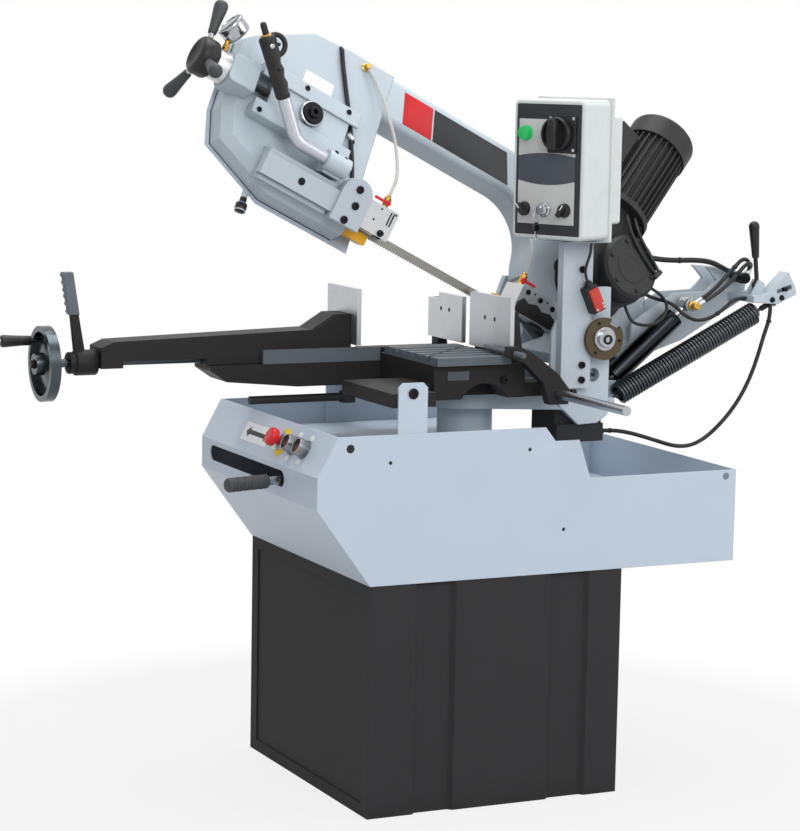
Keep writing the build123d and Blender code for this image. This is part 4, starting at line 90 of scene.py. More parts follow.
@dataclass(frozen=True)
class Place:
    """A frame in the machine: its origin in millimetres and its three axes."""

    origin: Vec = (0.0, 0.0, 0.0)
    x: Vec = (1.0, 0.0, 0.0)
    y: Vec = (0.0, 1.0, 0.0)
    z: Vec = (0.0, 0.0, 1.0)

    def spot(self, local: Array) -> Array:
        """Local millimetres to machine millimetres: origin plus x, y and z times the axes."""
        return np.asarray(local, float) @ np.array([self.x, self.y, self.z]) + np.array(self.origin)

    def points(self, local: Array) -> Array:
        """Local millimetres to machine metres."""
        return self.spot(local) * MM

    def inner(self, origin: Vec, x: Vec, y: Vec, z: Vec) -> Place:
        """A frame that is given in this one.

        Args:
            origin: Where it stands, in this frame.
            x: Its x axis in this frame.
            y: Its y axis in this frame.
            z: Its z axis in this frame.

        Returns:
            The frame in the machine.
        """
        basis = np.array([self.x, self.y, self.z])
        turned = [tuple(np.asarray(axis, float) @ basis) for axis in (x, y, z)]
        return Place(tuple(self.spot(origin)), *turned)

    def across(self, x: float) -> Place:
        """A frame on the plane across x, with this one's y and z in the plane and its x out of it."""
        return self.inner((x, 0.0, 0.0), (0.0, 1.0, 0.0), (0.0, 0.0, 1.0), (1.0, 0.0, 0.0))

    def facing(self, origin: Vec, out: Vec = (0.0, 0.0, 1.0), side: Vec = (1.0, 0.0, 0.0)) -> Place:
        """A frame whose z runs out of a face.

        Args:
            origin: Where it stands, in this frame.
            out: The way its z points.
            side: The way its x points, as near as z allows.

        Returns:
            The new frame.
        """
        z = unit(out)
        guide = np.asarray(side, float)
        if abs(unit(guide) @ z) > 0.98:
            guide = np.array([0.0, 0.0, 1.0]) if abs(z[2]) < 0.9 else np.array([0.0, 1.0, 0.0])
        x = unit(guide - (guide @ z) * z)
        return self.inner(origin, tuple(x), tuple(np.cross(z, x)), tuple(z))


RAISE, TILT, BOX_TURN = radians(27.3), radians(20.0), radians(26.0)
PIVOT_Y, PIVOT_Z, BLADE_Z = 303.0, 970.0, 946.0
GEAR_P, WHEEL_Q, GEAR_R = 330.0, 150.65, 78.0
ARM_N, BOX_FRONT = 30.0, -75.0  # faces of the bow's arm and of the control box
MACHINE = Place()
BOW = Place(
    (0.0, PIVOT_Y - PIVOT_Y * cos(RAISE) - PIVOT_Z * sin(RAISE),
     PIVOT_Z + PIVOT_Y * sin(RAISE) - PIVOT_Z * cos(RAISE)),
    (1.0, 0.0, 0.0), (0.0, cos(RAISE), -sin(RAISE)), (0.0, sin(RAISE), cos(RAISE)))
WHEELS = BOW.inner((0.0, 0.0, BLADE_Z), (0.0, 1.0, 0.0), (-sin(TILT), 0.0, cos(TILT)),
                   (cos(TILT), 0.0, sin(TILT)))
BOX = Place((167.0, 224.0, 1333.0), (cos(BOX_TURN), sin(BOX_TURN), 0.0),
            (-sin(BOX_TURN), cos(BOX_TURN), 0.0))
SLOPE_RUN, SLOPE_RISE = 44.0, 82.0
SLOPE_LONG = float(np.hypot(SLOPE_RUN, SLOPE_RISE))
SLOPE = Place((0.0, -396.0, 761.0), (1.0, 0.0, 0.0), (0.0, SLOPE_RUN / SLOPE_LONG, SLOPE_RISE / SLOPE_LONG),
              (0.0, -SLOPE_RISE / SLOPE_LONG, SLOPE_RUN / SLOPE_LONG))


def box_face(x: float, z: float) -> Place:
    """A place on the control box's front, with z out of it and y up."""
    return BOX.inner((x, BOX_FRONT, z), (1.0, 0.0, 0.0), (0.0, 0.0, 1.0), (0.0, -1.0, 0.0))


# Shader graph


class Socket:
    """One shader output that can stand in Python arithmetic."""

    def __init__(self, graph: Graph, link: bpy.types.NodeSocket) -> None:
        """Wraps a node's output."""
        self.graph, self.link = graph, link

    def __add__(self, other: Socket | float) -> Socket:
        """Sum."""
        return self.graph.math("ADD", self, other)

    def __sub__(self, other: Socket | float) -> Socket:
        """Difference."""
        return self.graph.math("SUBTRACT", self, other)

    def __rsub__(self, other: float) -> Socket:
        """Difference from a number."""
        return self.graph.math("SUBTRACT", other, self)

    def __mul__(self, other: Socket | float) -> Socket:
        """Product."""
        return self.graph.math("MULTIPLY", self, other)

    __radd__ = __add__
    __rmul__ = __mul__

    def clamp(self) -> Socket:
        """The value kept between nought and one."""
        return self.graph.math("ADD", self, 0.0, True)


class Graph:
    """The node tree of one material or world."""

    def __init__(self, owner: bpy.types.Material | bpy.types.World) -> None:
        """Empties the node tree of a new material or world.

        Args:
            owner: What the tree belongs to.
        """
        owner.use_nodes = True
        self.tree = owner.node_tree
        self.tree.nodes.clear()

    def node(self, kind: str, settings: dict | None = None, inputs: dict | None = None,
             output: int | str = 0) -> Socket | None:
        """Adds one node.

        Args:
            kind: The node's type, without the ShaderNode in front.
            settings: Its own settings, set first.
            inputs: Values or sockets by input name or number.
            output: The output to hand back.

        Returns:
            That output as a Socket, or nothing where the node has none.
        """
        made = self.tree.nodes.new("ShaderNode" + kind)
        for key, value in (settings or {}).items():
            setattr(made, key, value)
        for key, value in (inputs or {}).items():
            if isinstance(value, Socket):
                self.tree.links.new(value.link, made.inputs[key])
            else:
                made.inputs[key].default_value = value
        return Socket(self, made.outputs[output]) if made.outputs else None

    def math(self, operation: str, one: Socket | float, two: Socket | float, clamp: bool = False) -> Socket:
        """A Math node."""
        return self.node("Math", {"operation": operation, "use_clamp": clamp}, {0: one, 1: two})

    def coords(self, stretch: Vec = (1.0, 1.0, 1.0)) -> Socket:
        """Object coordinates, stretched along the axes."""
        at = self.node("TexCoord", output="Object")
        return at if stretch == (1, 1, 1) else self.node("Mapping", None, {"Vector": at, "Scale": stretch})

    def noise(self, at: Socket, scale: float, detail: float = 2.0, rough: float = 0.5) -> Socket:
        """Cloudy noise from nought to one."""
        inputs = {"Vector": at, "Scale": scale, "Detail": detail, "Roughness": rough}
        return self.node("TexNoise", None, inputs)

    def mix(self, share: Socket | float, one: Socket | tuple, two: Socket | tuple) -> Socket:
        """Colour one turning into colour two."""
        return self.node("Mix", {"data_type": "RGBA"}, {0: share, 6: one, 7: two}, 2)

    def soft(self, radius: float) -> Socket:
        """Normals rounded over the edges by a radius in metres."""
        return self.node("Bevel", {"samples": 4}, {"Radius": radius})

    def edges(self, radius: float) -> Socket:
        """One on the edges and nought on the flats: how far the rounded normal leaves the true one.

        Args:
            radius: The rounding in metres.

        Returns:
            The share of edge at each point.
        """
        true = self.node("NewGeometry", output="True Normal")
        inputs = {0: self.soft(radius), 1: true}
        along = self.node("VectorMath", {"operation": "DOT_PRODUCT"}, inputs, "Value")
        return ((1.0 - along) * 5.0).clamp()

    def corners(self, reach: float) -> Socket:
        """One deep in corners and nought in the open."""
        return 1.0 - self.node("AmbientOcclusion", {"samples": 4}, {"Distance": reach}, "AO")

    def bump(self, height: Socket, depth: float, normal: Socket | None = None) -> Socket:
        """A normal from a height of some depth in metres."""
        inputs = {"Strength": 1.0, "Distance": depth, "Height": height}
        return self.node("Bump", None, inputs | ({"Normal": normal} if normal else {}))

    def surface(self, inputs: dict) -> None:
        """Closes a material with a Principled shader."""
        self.node("OutputMaterial", None, {"Surface": self.node("BsdfPrincipled", None, inputs)})


# Finishes


def linear(tint: Vec, level: float = 1.0) -> tuple[float, float, float, float]:
    """A written colour from 0 to 255 as linear light.

    Args:
        tint: Red, green and blue as they look on a screen.
        level: A factor on the light.

    Returns:
        Linear red, green, blue and a full alpha.
    """
    share = np.asarray(tint, float) / 255.0
    light = np.where(share <= 0.04045, share / 12.92, ((share + 0.055) / 1.055) ** 2.4)
    return (*np.clip(light * level, 0.0, 1.0), 1.0)


class Lay(Enum):
    """The way that tool marks run on a metal face, as stretches of the noise."""

    EVEN = (1.0, 1.0, 1.0)
    ALONG_X = (0.03, 1.0, 1.0)
    ALONG_Y = (1.0, 0.03, 1.0)


@dataclass(frozen=True)
class Finish:
    """What a surface is made of; each kind fills in dress."""

    name: str
    tint: Vec

    def material(self) -> bpy.types.Material:
        """The material, made on first use.

        Returns:
            The material with this finish's name.
        """
        made = bpy.data.materials.get("finish_" + self.name)
        if made is None:
            made = bpy.data.materials.new("finish_" + self.name)
            self.dress(Graph(made))
        return made

    def dress(self, g: Graph) -> None:
        """Fills the node tree."""
        raise NotImplementedError


@dataclass(frozen=True)
class Paint(Finish):
    """Paint on castings and sheet: mottled, grained, rubbed pale on edges, with painted shade darkening its
    corners.
    """

    roughness: float = 0.42
    grain: float = 420.0
    depth: float = 0.00012
    edge: float = 2.5
    wear: float = 0.35
    # strength of the painted shade that darkens corners
    corner_shade: float = 0.45
    mottle: float = 0.05
    gloss: float = 0.45

    def dress(self, g: Graph) -> None:
        """Broad clouds move the colour, fine grain the bump, rounded edges wear, and occlusion paints shade
        into the corners and roughens them.

        Args:
            g: The material's graph.
        """
        at = g.coords()
        cloud = g.noise(at, 7.0, 5.0, 0.6)
        speck = g.noise(at, self.grain, 2.0)
        # painted shade: occlusion, broken up by clouds, marks the corners; the same mask also roughens them
        corner_shade_and_grime = (g.corners(0.06) * (0.45 + cloud)).clamp()
        colour = g.mix(cloud, linear(self.tint, 1.0 - self.mottle), linear(self.tint, 1.0 + self.mottle))
        colour = g.mix(g.edges(self.edge * MM) * self.wear, colour, linear(self.tint, 1.35))
        # painted shade: corners darkened towards a third of the tint
        colour = g.mix(corner_shade_and_grime * self.corner_shade, colour, linear(self.tint, 0.3))
        rough = self.roughness + (cloud - 0.5) * 0.16 + (speck - 0.5) * 0.08 + corner_shade_and_grime * 0.15
        normal = g.bump(speck, self.depth, g.soft(self.edge * MM))
        g.surface({"Base Color": colour, "Roughness": rough, "Normal": normal,
                   "Specular IOR Level": self.gloss})


@dataclass(frozen=True)
class Metal(Finish):
    """Bare metal with tool marks, a little tarnish and brighter edges."""

    roughness: float = 0.3
    lay: Lay = Lay.EVEN
    marks: float = 900.0
    depth: float = 0.00003
    tarnish: float = 0.25
    edge: float = 0.6
    bare: float = 1.0

    def dress(self, g: Graph) -> None:
        """Stretched noise draws the marks in colour, roughness and bump; clouds draw the tarnish.

        Args:
            g: The material's graph.
        """
        lines = g.noise(g.coords(self.lay.value), self.marks, 3.0, 0.65)
        cloud = g.noise(g.coords(), 16.0, 4.0, 0.6)
        dull = (g.corners(0.02) + (cloud - 0.45)).clamp() * self.tarnish
        colour = g.mix(lines, linear(self.tint, 0.82), linear(self.tint, 1.12))
        colour = g.mix(dull, colour, linear(self.tint, 0.4))
        rough = self.roughness + (lines - 0.5) * 0.22 + dull * 0.3
        normal = g.bump(lines, self.depth, g.soft(self.edge * MM))
        g.surface({"Base Color": colour, "Roughness": rough.clamp(), "Normal": normal, "Metallic": self.bare,
                   "Specular IOR Level": 0.1})


@dataclass(frozen=True)
class Plastic(Finish):
    """Moulded plastic or rubber: spark-eroded grain, paler edges and settled dust."""

    roughness: float = 0.45
    grain: float = 900.0
    depth: float = 0.00005
    edge: float = 0.8
    dust: float = 0.12
    glow: float = 0.0
    clear: float = 0.0

    def dress(self, g: Graph) -> None:
        """Fine noise makes the grain, broad noise the dust, and edges catch a little light.

        Args:
            g: The material's graph.
        """
        at = g.coords()
        speck = g.noise(at, self.grain, 2.0)
        cloud = g.noise(at, 22.0, 4.0, 0.6)
        colour = g.mix(cloud, linear(self.tint, 0.9), linear(self.tint, 1.1))
        colour = g.mix(g.edges(self.edge * MM) * 0.25, colour, linear(self.tint, 1.6))
        colour = g.mix((cloud - 0.4).clamp() * self.dust, colour, linear((150, 148, 142)))
        rough = self.roughness + (cloud - 0.5) * 0.14 + (speck - 0.5) * 0.1
        normal = g.bump(speck, self.depth, g.soft(self.edge * MM))
        inputs = {"Base Color": colour, "Roughness": rough, "Normal": normal,
                  "Transmission Weight": self.clear, "IOR": 1.46, "Specular IOR Level": 0.35}
        if self.glow:
            inputs |= {"Emission Color": linear(self.tint), "Emission Strength": self.glow}
        g.surface(inputs)


CAST = Paint("cast_paint", (187, 198, 206), 0.4, 260.0, 0.0002, 5.0, 0.3, 0.5)
SHEET = Paint("sheet_paint", (191, 203, 216), 0.38, 520.0, 0.00005, 1.4, 0.3, 0.35, 0.03)
# painted shade: a slightly darker, less blue copy of the sheet paint, darkened for the shade on the control
# bracket's post
SHADED_SHEET = Paint("shaded_sheet_paint", (184, 193, 201), 0.36, 520.0, 0.00005, 1.4, 0.3, 0.35, 0.03)
CHARCOAL = Paint("charcoal_coat", (56, 56, 57), 0.58, 700.0, 0.00016, 1.8, 0.3, 0.25, 0.1, 0.06)
IRON = Paint("vise_iron", (32, 30, 31), 0.52, 300.0, 0.0004, 3.0, 0.35, 0.2, 0.14, 0.25)
DRIVE = Paint("drive_paint", (42, 42, 43), 0.5, 420.0, 0.0002, 2.0, 0.4, 0.2, 0.12, 0.25)
YELLOW = Paint("guard_paint", (238, 176, 22), 0.4, 500.0, 0.00005, 1.0, 0.3, 0.3, 0.05)
WHITE = Paint("plate_white", (236, 238, 240), 0.35, 800.0, 0.00002, 0.4, 0.1, 0.15, 0.02)
BLACKING = Metal("screw_blacking", (42, 42, 45), 0.42, Lay.EVEN, 500.0, 0.00004, 0.4)
TABLE = Metal("table_steel", (98, 106, 111), 0.5, Lay.ALONG_Y, 1100.0, 0.00004, 0.4, 0.6, 0.12)
JAW = Metal("jaw_steel", (196, 199, 203), 0.4, Lay.ALONG_X, 1200.0, 0.00003, 0.25)
BAND = Metal("band_steel", (150, 148, 142), 0.38, Lay.ALONG_Y, 1500.0, 0.00002, 0.3)
BRIGHT = Metal("bright_steel", (188, 192, 197), 0.28, Lay.ALONG_X, 900.0, 0.00002, 0.25)
WHEEL = Metal("wheel_steel", (76, 84, 88), 0.26, Lay.EVEN, 300.0, 0.00003, 0.35)
CHROME = Metal("chrome", (178, 181, 186), 0.16, Lay.EVEN, 80.0, 0.00001, 0.12)
RING = Metal("ring_steel", (132, 134, 138), 0.34, Lay.EVEN, 300.0, 0.00003, 0.3)
ALLOY = Metal("guide_alloy", (204, 206, 208), 0.38, Lay.ALONG_Y, 900.0, 0.00003, 0.2)
TUBE = Metal("handle_alloy", (190, 194, 200), 0.36, Lay.EVEN, 260.0, 0.00003, 0.2)
BRASS = Metal("tap_brass", (212, 166, 82), 0.25, Lay.EVEN, 300.0, 0.00002, 0.3)
CAM = Metal("cam_bronze", (92, 82, 64), 0.4, Lay.EVEN, 420.0, 0.00003, 0.4)
SPRING = Metal("spring_wire", (78, 82, 86), 0.27, Lay.EVEN, 240.0, 0.00003, 0.4)
BARREL = Metal("barrel_black", (44, 48, 52), 0.24, Lay.EVEN, 120.0, 0.00001, 0.2)
BLACK = Plastic("black_moulding", (30, 30, 32), 0.42)
GRIP = Plastic("grip_moulding", (66, 68, 72), 0.5, 700.0, 0.00008)
# painted highlight: a lighter copy of the grip moulding, for the lit face of the vise lock's grip
LIT_GRIP = Plastic("lit_grip", (100, 106, 114), 0.5, 700.0, 0.00008)
RUBBER = Plastic("cable_sheath", (30, 31, 34), 0.5, 400.0, 0.00005, 0.3, 0.2)
BOXWHITE = Plastic("box_moulding", (211, 216, 214), 0.36, 1200.0, 0.00003, 1.5, 0.05)
PANEL_DARK = Plastic("panel_dark", (44, 45, 48), 0.4, 1500.0, 0.00001, 0.2, 0.05)
PANEL_BAND = Plastic("panel_band", (74, 80, 88), 0.4, 1500.0, 0.00001, 0.2, 0.05)
PANEL_LIGHT = Plastic("panel_light", (196, 196, 195), 0.38, 1500.0, 0.00001, 0.2, 0.05)
RED = Plastic("red_moulding", (214, 38, 46), 0.34, 1500.0, 0.00001, 0.5, 0.04)
LID = Plastic("switch_lid", (196, 66, 58), 0.4, 1500.0, 0.00001, 0.5, 0.06)
BADGE_RED = Plastic("badge_red", (198, 26, 34), 0.36, 1500.0, 0.00001, 0.2, 0.04)
BROWN = Plastic("button_brown", (92, 46, 34), 0.36)
LAMP = Plastic("lamp_lens", (40, 178, 96), 0.16, 300.0, 0.00002, 0.6, 0.02, 0.25, 0.25)
HOSE = Plastic("clear_hose", (226, 226, 220), 0.22, 300.0, 0.00002, 0.2, 0.05, 0.0, 0.45)
GLASS = Plastic("gauge_glass", (250, 250, 250), 0.03, 50.0, 0.000002, 0.2, 0.0, 0.0, 1.0)
YELLOW_LEGEND = Plastic("legend_yellow", (240, 200, 36), 0.4, 900.0, 0.00002, 0.3, 0.05)
INK = Plastic("plate_ink", (24, 24, 26), 0.5, 900.0, 0.00001, 0.2, 0.05)

NODE_FINISH: dict[str, Finish] = {
    "cabinet": CHARCOAL, "cabinet_front_panel": CHARCOAL, "coolant_unit": CHARCOAL, "tray": SHEET,
    "tray_brackets": SHEET, "panel_collars": BRIGHT, "estop_button": RED, "start_button": BROWN,
    "stop_button": BROWN, "vise_base": IRON, "table": TABLE, "fixed_jaws": JAW, "vise_beam": IRON,
    "moving_jaw": JAW, "handwheel": WHEEL, "crank_handle": WHEEL, "vise_lock_lever": IRON,
    "vise_shift_lever": DRIVE, "stop_rod": BRIGHT, "stop_arm": IRON, "mitre_lever": BRIGHT, "turret": CAST,
    "pedestal_block": CHARCOAL, "control_bracket": SHADED_SHEET, "control_box": BOXWHITE, "main_switch": BLACK,
    "selector_left": BLACK, "selector_right": BLACK, "key_switch": CHROME, "pilot_lamp": LAMP,
    "limit_switch": BLACK, "spring_right": SPRING, "spring_left": SPRING, "cylinder_barrel": BARREL,
    "cylinder_rod": CHROME, "front_housing": CAST, "bow_arm": CAST, "wheel_covers": SHEET,
    "idler_wheel": WHEEL, "drive_wheel": WHEEL, "blade": BAND, "tension_slide": CAST,
    "tension_handle": BLACK, "tension_gauge": ALLOY, "guide_bar": SHADED_SHEET, "front_guide": ALLOY,
    "front_tap_lever": RED, "rear_guide": ALLOY, "rear_tap_lever": RED, "blade_guards": YELLOW,
    "handle_tube": TUBE, "handle_grip": BLACK, "handle_trigger": BLACK, "gearbox": DRIVE, "motor": DRIVE,
    "pivot_shafts": CAM, "tail_arms": CAST, "valve_lever": BLACK, "tail_cables": RUBBER,
    "bow_cables": RUBBER,
}


# Surfaces


def rounded(half_x: float, half_y: float, corner: float, middle: tuple[float, float] = (0.0, 0.0)) -> Array:
    """Outline of a rounded rectangle: four quarter circles of the corner radius, joined.

    Args:
        half_x: Half the width.
        half_y: Half the height.
        corner: Corner radius.
        middle: Where its middle lies.

    Returns:
        Points (n, 2), anticlockwise.
    """
    steps = 5
    turn = np.linspace(0.0, pi / 2, steps)
    angle = (np.arange(4)[:, None] * pi / 2 + turn).ravel()
    sign_x = np.repeat([1.0, -1.0, -1.0, 1.0], steps)
    sign_y = np.repeat([1.0, 1.0, -1.0, -1.0], steps)
    x = middle[0] + sign_x * (half_x - corner) + corner * np.cos(angle)
    y = middle[1] + sign_y * (half_y - corner) + corner * np.sin(angle)
    return np.stack([x, y], -1)


def circle(radius: float, count: int, start: float = 0.0) -> Array:
    """Places evenly round a circle: the radius times the cosine and sine of equal turns.

    Args:
        radius: Radius of the circle.
        count: How many places.
        start: The angle of the first.

    Returns:
        Points (count, 2).
    """
    turn = np.linspace(start, start + 2.0 * pi, count + 1)[:-1]
    return radius * np.stack([np.cos(turn), np.sin(turn)], -1)


def inset(outline: Array, amount: float) -> Array:
    """Outline drawn in by an amount: each corner moves along the sum of its two edge normals.

    Args:
        outline: Points (n, 2), anticlockwise.
        amount: How far to draw it in.

    Returns:
        The smaller outline.
    """
    edge = unit(np.roll(outline, -1, 0) - outline)
    normal = np.stack([-edge[:, 1], edge[:, 0]], -1)
    before = np.roll(normal, 1, 0)
    share = 1.0 + np.sum(normal * before, -1, keepdims=True)
    return outline + amount * (normal + before) / np.maximum(share, 0.2)


class Shape:
    """Gathers grid surfaces into one mesh, each with its own finish."""

    def __init__(self, name: str) -> None:
        """Starts an empty shape.

        Args:
            name: The name of its object and mesh.
        """
        self.name = name
        self.points: list[Array] = []
        self.faces: list[list[int]] = []
        self.marks: list[int] = []
        self.finishes: list[Finish] = []
        self.count = 0

    def grid(self, place: Place, points: Array, finish: Finish,
             caps: tuple[bool, bool] = (False, False)) -> Shape:
        """Adds a sheet of quads over a grid of points, whose last column joins the first.

        Args:
            place: The frame that the points are in.
            points: Grid (rows, columns, 3).
            finish: Its finish.
            caps: Whether the first and last rows are closed with a face.

        Returns:
            This shape.
        """
        rows, columns = points.shape[:2]
        index = self.count + np.arange(rows * columns).reshape(rows, columns)
        following = np.roll(index, -1, 1)
        quads = np.stack([index[:-1], following[:-1], following[1:], index[1:]], -1)
        added = quads.reshape(-1, 4).tolist()
        added += [index[row].tolist() for row, wanted in ((0, caps[0]), (-1, caps[1])) if wanted]
        if finish not in self.finishes:
            self.finishes.append(finish)
        self.faces += added
        self.marks += [self.finishes.index(finish)] * len(added)
        self.points.append(place.points(points.reshape(-1, 3)))
        self.count += rows * columns
        return self

    def lathe(self, place: Place, profile: list[tuple], finish: Finish, sides: int = 36,
              bored: bool = False) -> Shape:
        """Adds rings round z: x is r cos a, y is r sin a and z is the height of each profile row.

        Args:
            place: The frame whose z is the axis.
            profile: Rows of radius and height, and a third number that draws the ring towards a hexagon.
            finish: Its finish.
            sides: Points round a ring, a multiple of twelve.
            bored: Whether the last row joins the first round a bore.

        Returns:
            This shape.
        """
        profile = profile + profile[:1] if bored else profile
        rows = np.array([(*row, 0.0)[:3] for row in profile], float)
        angle = 2.0 * pi * np.arange(sides) / sides
        flat = cos(pi / 6) / np.cos(angle % (pi / 3) - pi / 6)
        radius = rows[:, :1] * (1.0 + rows[:, 2:] * (flat - 1.0))
        high = np.broadcast_to(rows[:, 1:2], radius.shape)
        ring = np.stack([radius * np.cos(angle), radius * np.sin(angle), high], -1)
        first, last = (not bored and rows[end, 0] > 0.0 for end in (0, -1))
        return self.grid(place, ring, finish, (first, last))

    def slab(self, place: Place, outline: Array, low: float, high: float, finish: Finish,
             edge: float = 0.6, foot: float = 0.0) -> Shape:
        """Adds a plate: its outline stands from low to high and turns in over quarter circles at the edges.

        Args:
            place: The frame whose z is out of the plate.
            outline: Points (n, 2).
            low: Height of its back.
            high: Height of its face.
            finish: Its finish.
            edge: Radius at the face.
            foot: Radius at the back.

        Returns:
            This shape.
        """
        turn = np.linspace(0.0, pi / 2, 4)
        rows = [(foot * (1 - sin(t)), low + foot * (1 - cos(t))) for t in turn] if foot else [(0.0, low)]
        rows += [(edge * (1 - cos(t)), high - edge * (1 - sin(t))) for t in turn]
        rings = [np.insert(inset(outline, draw), 2, level, axis=1) for draw, level in rows]
        return self.grid(place, np.stack(rings), finish, (True, True))

    def tube(self, place: Place, path: Array, radius: float, finish: Finish,
             side: Vec = (1.0, 0.0, 0.0), sides: int = 16) -> Shape:
        """Adds a round section carried along a path, in the plane across its tangent.

        Args:
            place: The frame of the path.
            path: Points (n, 3).
            radius: Radius of the section.
            finish: Its finish.
            side: A direction that the path never follows.
            sides: Points round the section.

        Returns:
            This shape.
        """
        tangent = unit(np.gradient(path, axis=0))
        across = unit(np.cross(tangent, np.asarray(side, float)))
        other = np.cross(across, tangent)
        angle = 2.0 * pi * np.arange(sides) / sides
        spokes = np.cos(angle)[:, None] * across[:, None] + np.sin(angle)[:, None] * other[:, None]
        return self.grid(place, path[:, None] + radius * spokes, finish, (True, True))

    def disc(self, place: Place, radius: float, high: float, finish: Finish) -> Shape:
        """Adds a small flat disc: a twelve-sided drum."""
        return self.lathe(place, [(radius, 0), (radius, high), (0, high)], finish, 12)

    def screw(self, place: Place, radius: float, high: float, finish: Finish = BLACKING) -> Shape:
        """Adds a socket screw head: a drum with a rounded rim and a hexagon recess.

        Args:
            place: The frame whose z is the screw's axis.
            radius: Radius of the head.
            high: Height of the head.
            finish: Its finish.

        Returns:
            This shape.
        """
        recess = radius * 0.58
        rows = [(radius, 0.0), (radius, high * 0.8), (radius * 0.9, high), (recess, high, 1.0),
                (recess, high * 0.35, 1.0), (0.0, high * 0.3)]
        return self.lathe(place, rows, finish, 24)

    def bolt(self, place: Place, across: float, high: float, finish: Finish = BLACKING) -> Shape:
        """Adds a hexagon head on its washer.

        Args:
            place: The frame whose z is the bolt's axis.
            across: Radius over the corners.
            high: Height of the head.
            finish: Its finish.

        Returns:
            This shape.
        """
        rows = [(across * 1.15, 0.0), (across * 1.15, 1.2), (across, 1.2, 1.0), (across, high * 0.85, 1.0),
                (across * 0.84, high), (0.0, high)]
        return self.lathe(place, rows, finish, 24)

    def build(self, body: str | None, slot: str | None = None) -> bpy.types.Object:
        """Makes the mesh: doubles merged, faces outwards, smooth up to an angle.

        Args:
            body: The CAD body that it rides on, or nothing where it rides on none.
            slot: Not used.

        Returns:
            The new object.
        """
        mesh = bpy.data.meshes.new(self.name)
        mesh.from_pydata(np.concatenate(self.points), [], self.faces)
        for finish in self.finishes:
            mesh.materials.append(finish.material())
        mesh.polygons.foreach_set("material_index", self.marks)
        work = bmesh.new()
        work.from_mesh(mesh)
        bmesh.ops.remove_doubles(work, verts=work.verts, dist=1e-6)
        bmesh.ops.recalc_face_normals(work, faces=work.faces)
        work.to_mesh(mesh)
        work.free()
        mesh.polygons.foreach_set("use_smooth", np.ones(len(mesh.polygons), bool))
        mesh.set_sharp_from_angle(angle=SHARP)
        made = bpy.data.objects.new(self.name, mesh)
        bpy.context.scene.collection.objects.link(made)
        if body:
            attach(made, body)
        LOG.info("%s: %d faces", self.name, len(mesh.polygons))
        return made


# Cords


@dataclass(frozen=True)
class Cord:
    """A cable or hose on a NURBS line through its route's points."""

    name: str
    place: Place
    route: tuple[Vec, ...]
    radius: float
    stiffness: str = "medium"
    finish: Finish = RUBBER

    def line(self, thick: bool) -> bpy.types.Object:
        """The curve object, round where thick is set.

        Args:
            thick: Whether it gets its section.

        Returns:
            A curve of one open spline of order three that starts and ends on its end points.
        """
        data = bpy.data.curves.new(self.name, "CURVE")
        data.dimensions = "3D"
        data.resolution_u = 10
        spline = data.splines.new("NURBS")
        points = self.place.points(np.array(self.route))
        spline.points.add(len(points) - 1)
        spline.points.foreach_set("co", np.insert(points, 3, 1.0, axis=1).ravel())
        spline.order_u = 3
        spline.use_endpoint_u = True
        if thick:
            data.bevel_depth = self.radius * MM
            data.bevel_resolution = 4
            data.use_fill_caps = True
        made = bpy.data.objects.new(self.name, data)
        bpy.context.scene.collection.objects.link(made)
        return made

    def path(self) -> Array:
        """Reads the line of the route's spline.

        Returns:
            Points (n, 3) in metres.
        """
        line = self.line(False)
        bpy.context.view_layer.update()
        mesh = bpy.data.meshes.new_from_object(line)
        found = np.zeros(len(mesh.vertices) * 3)
        mesh.vertices.foreach_get("co", found)
        bpy.data.objects.remove(line)
        bpy.data.meshes.remove(mesh)
        return found.reshape(-1, 3)

    def declare(self) -> None:
        """Works out the cord's diameter in metres and does nothing with it.
        """
        2 * self.radius * MM

    def fixed(self, body: str) -> bpy.types.Object:
        """Makes it a curve that rides on one body.

        Args:
            body: The CAD body.

        Returns:
            The curve object.
        """
        path = self.path()
        made = self.line(True)
        made.data.materials.append(self.finish.material())
        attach(made, body)
        self.declare()
        return made

    def bending(self) -> bpy.types.Object:
        """Makes it a mesh tube in the machine frame, on no body.

        Returns:
            The mesh object.
        """
        path = self.path()
        line = self.line(True)
        bpy.context.view_layer.update()
        mesh = bpy.data.meshes.new_from_object(line)
        bpy.data.objects.remove(line)
        mesh.name = self.name
        mesh.materials.clear()
        mesh.materials.append(self.finish.material())
        mesh.polygons.foreach_set("use_smooth", np.ones(len(mesh.polygons), bool))
        made = bpy.data.objects.new(self.name, mesh)
        bpy.context.scene.collection.objects.link(made)
        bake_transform(made)
        self.declare()
        return made

    def tie(self, shape: Shape, share: float) -> None:
        """Adds a zip tie with its head round the cord.

        Args:
            shape: The shape that gets it.
            share: How far along the cord it sits, from nought to one.
        """
        path = self.path() / MM
        index = int(share * (len(path) - 1))
        place = MACHINE.facing(tuple(path[index]), tuple(path[index + 1] - path[index - 1]))
        inner, outer = self.radius - 0.4, self.radius + 1.1
        shape.lathe(place, [(inner, -2), (outer, -2), (outer, 2), (inner, 2)], INK, 24)
        shape.slab(place, rounded(1.8, 2.6, 0.6, (outer + 1.2, 0.0)), -2.6, 2.6, INK, 0.6)


def bow_point(p: float, q: float, n: float) -> Vec:
    """A wheel-frame point in the level bow's own frame."""
    return (-q * sin(TILT) + n * cos(TILT), p, BLADE_Z + q * cos(TILT) + n * sin(TILT))


def gear_point(angle: float, n: float, out: float) -> Vec:
    """A point out from the gearbox drum: its radius plus out, at an angle in the wheel plane."""
    reach = GEAR_R + out
    return bow_point(GEAR_P + reach * cos(radians(angle)), WHEEL_Q + reach * sin(radians(angle)), n)


def hose_outlet(p: float, q: float, angle: float) -> Vec:
    """Where a hose leaves the side of its fitting."""
    reach, level = 6.05, ARM_N + 10.0
    return bow_point(p + reach * cos(radians(angle)), q + reach * sin(radians(angle)), level)


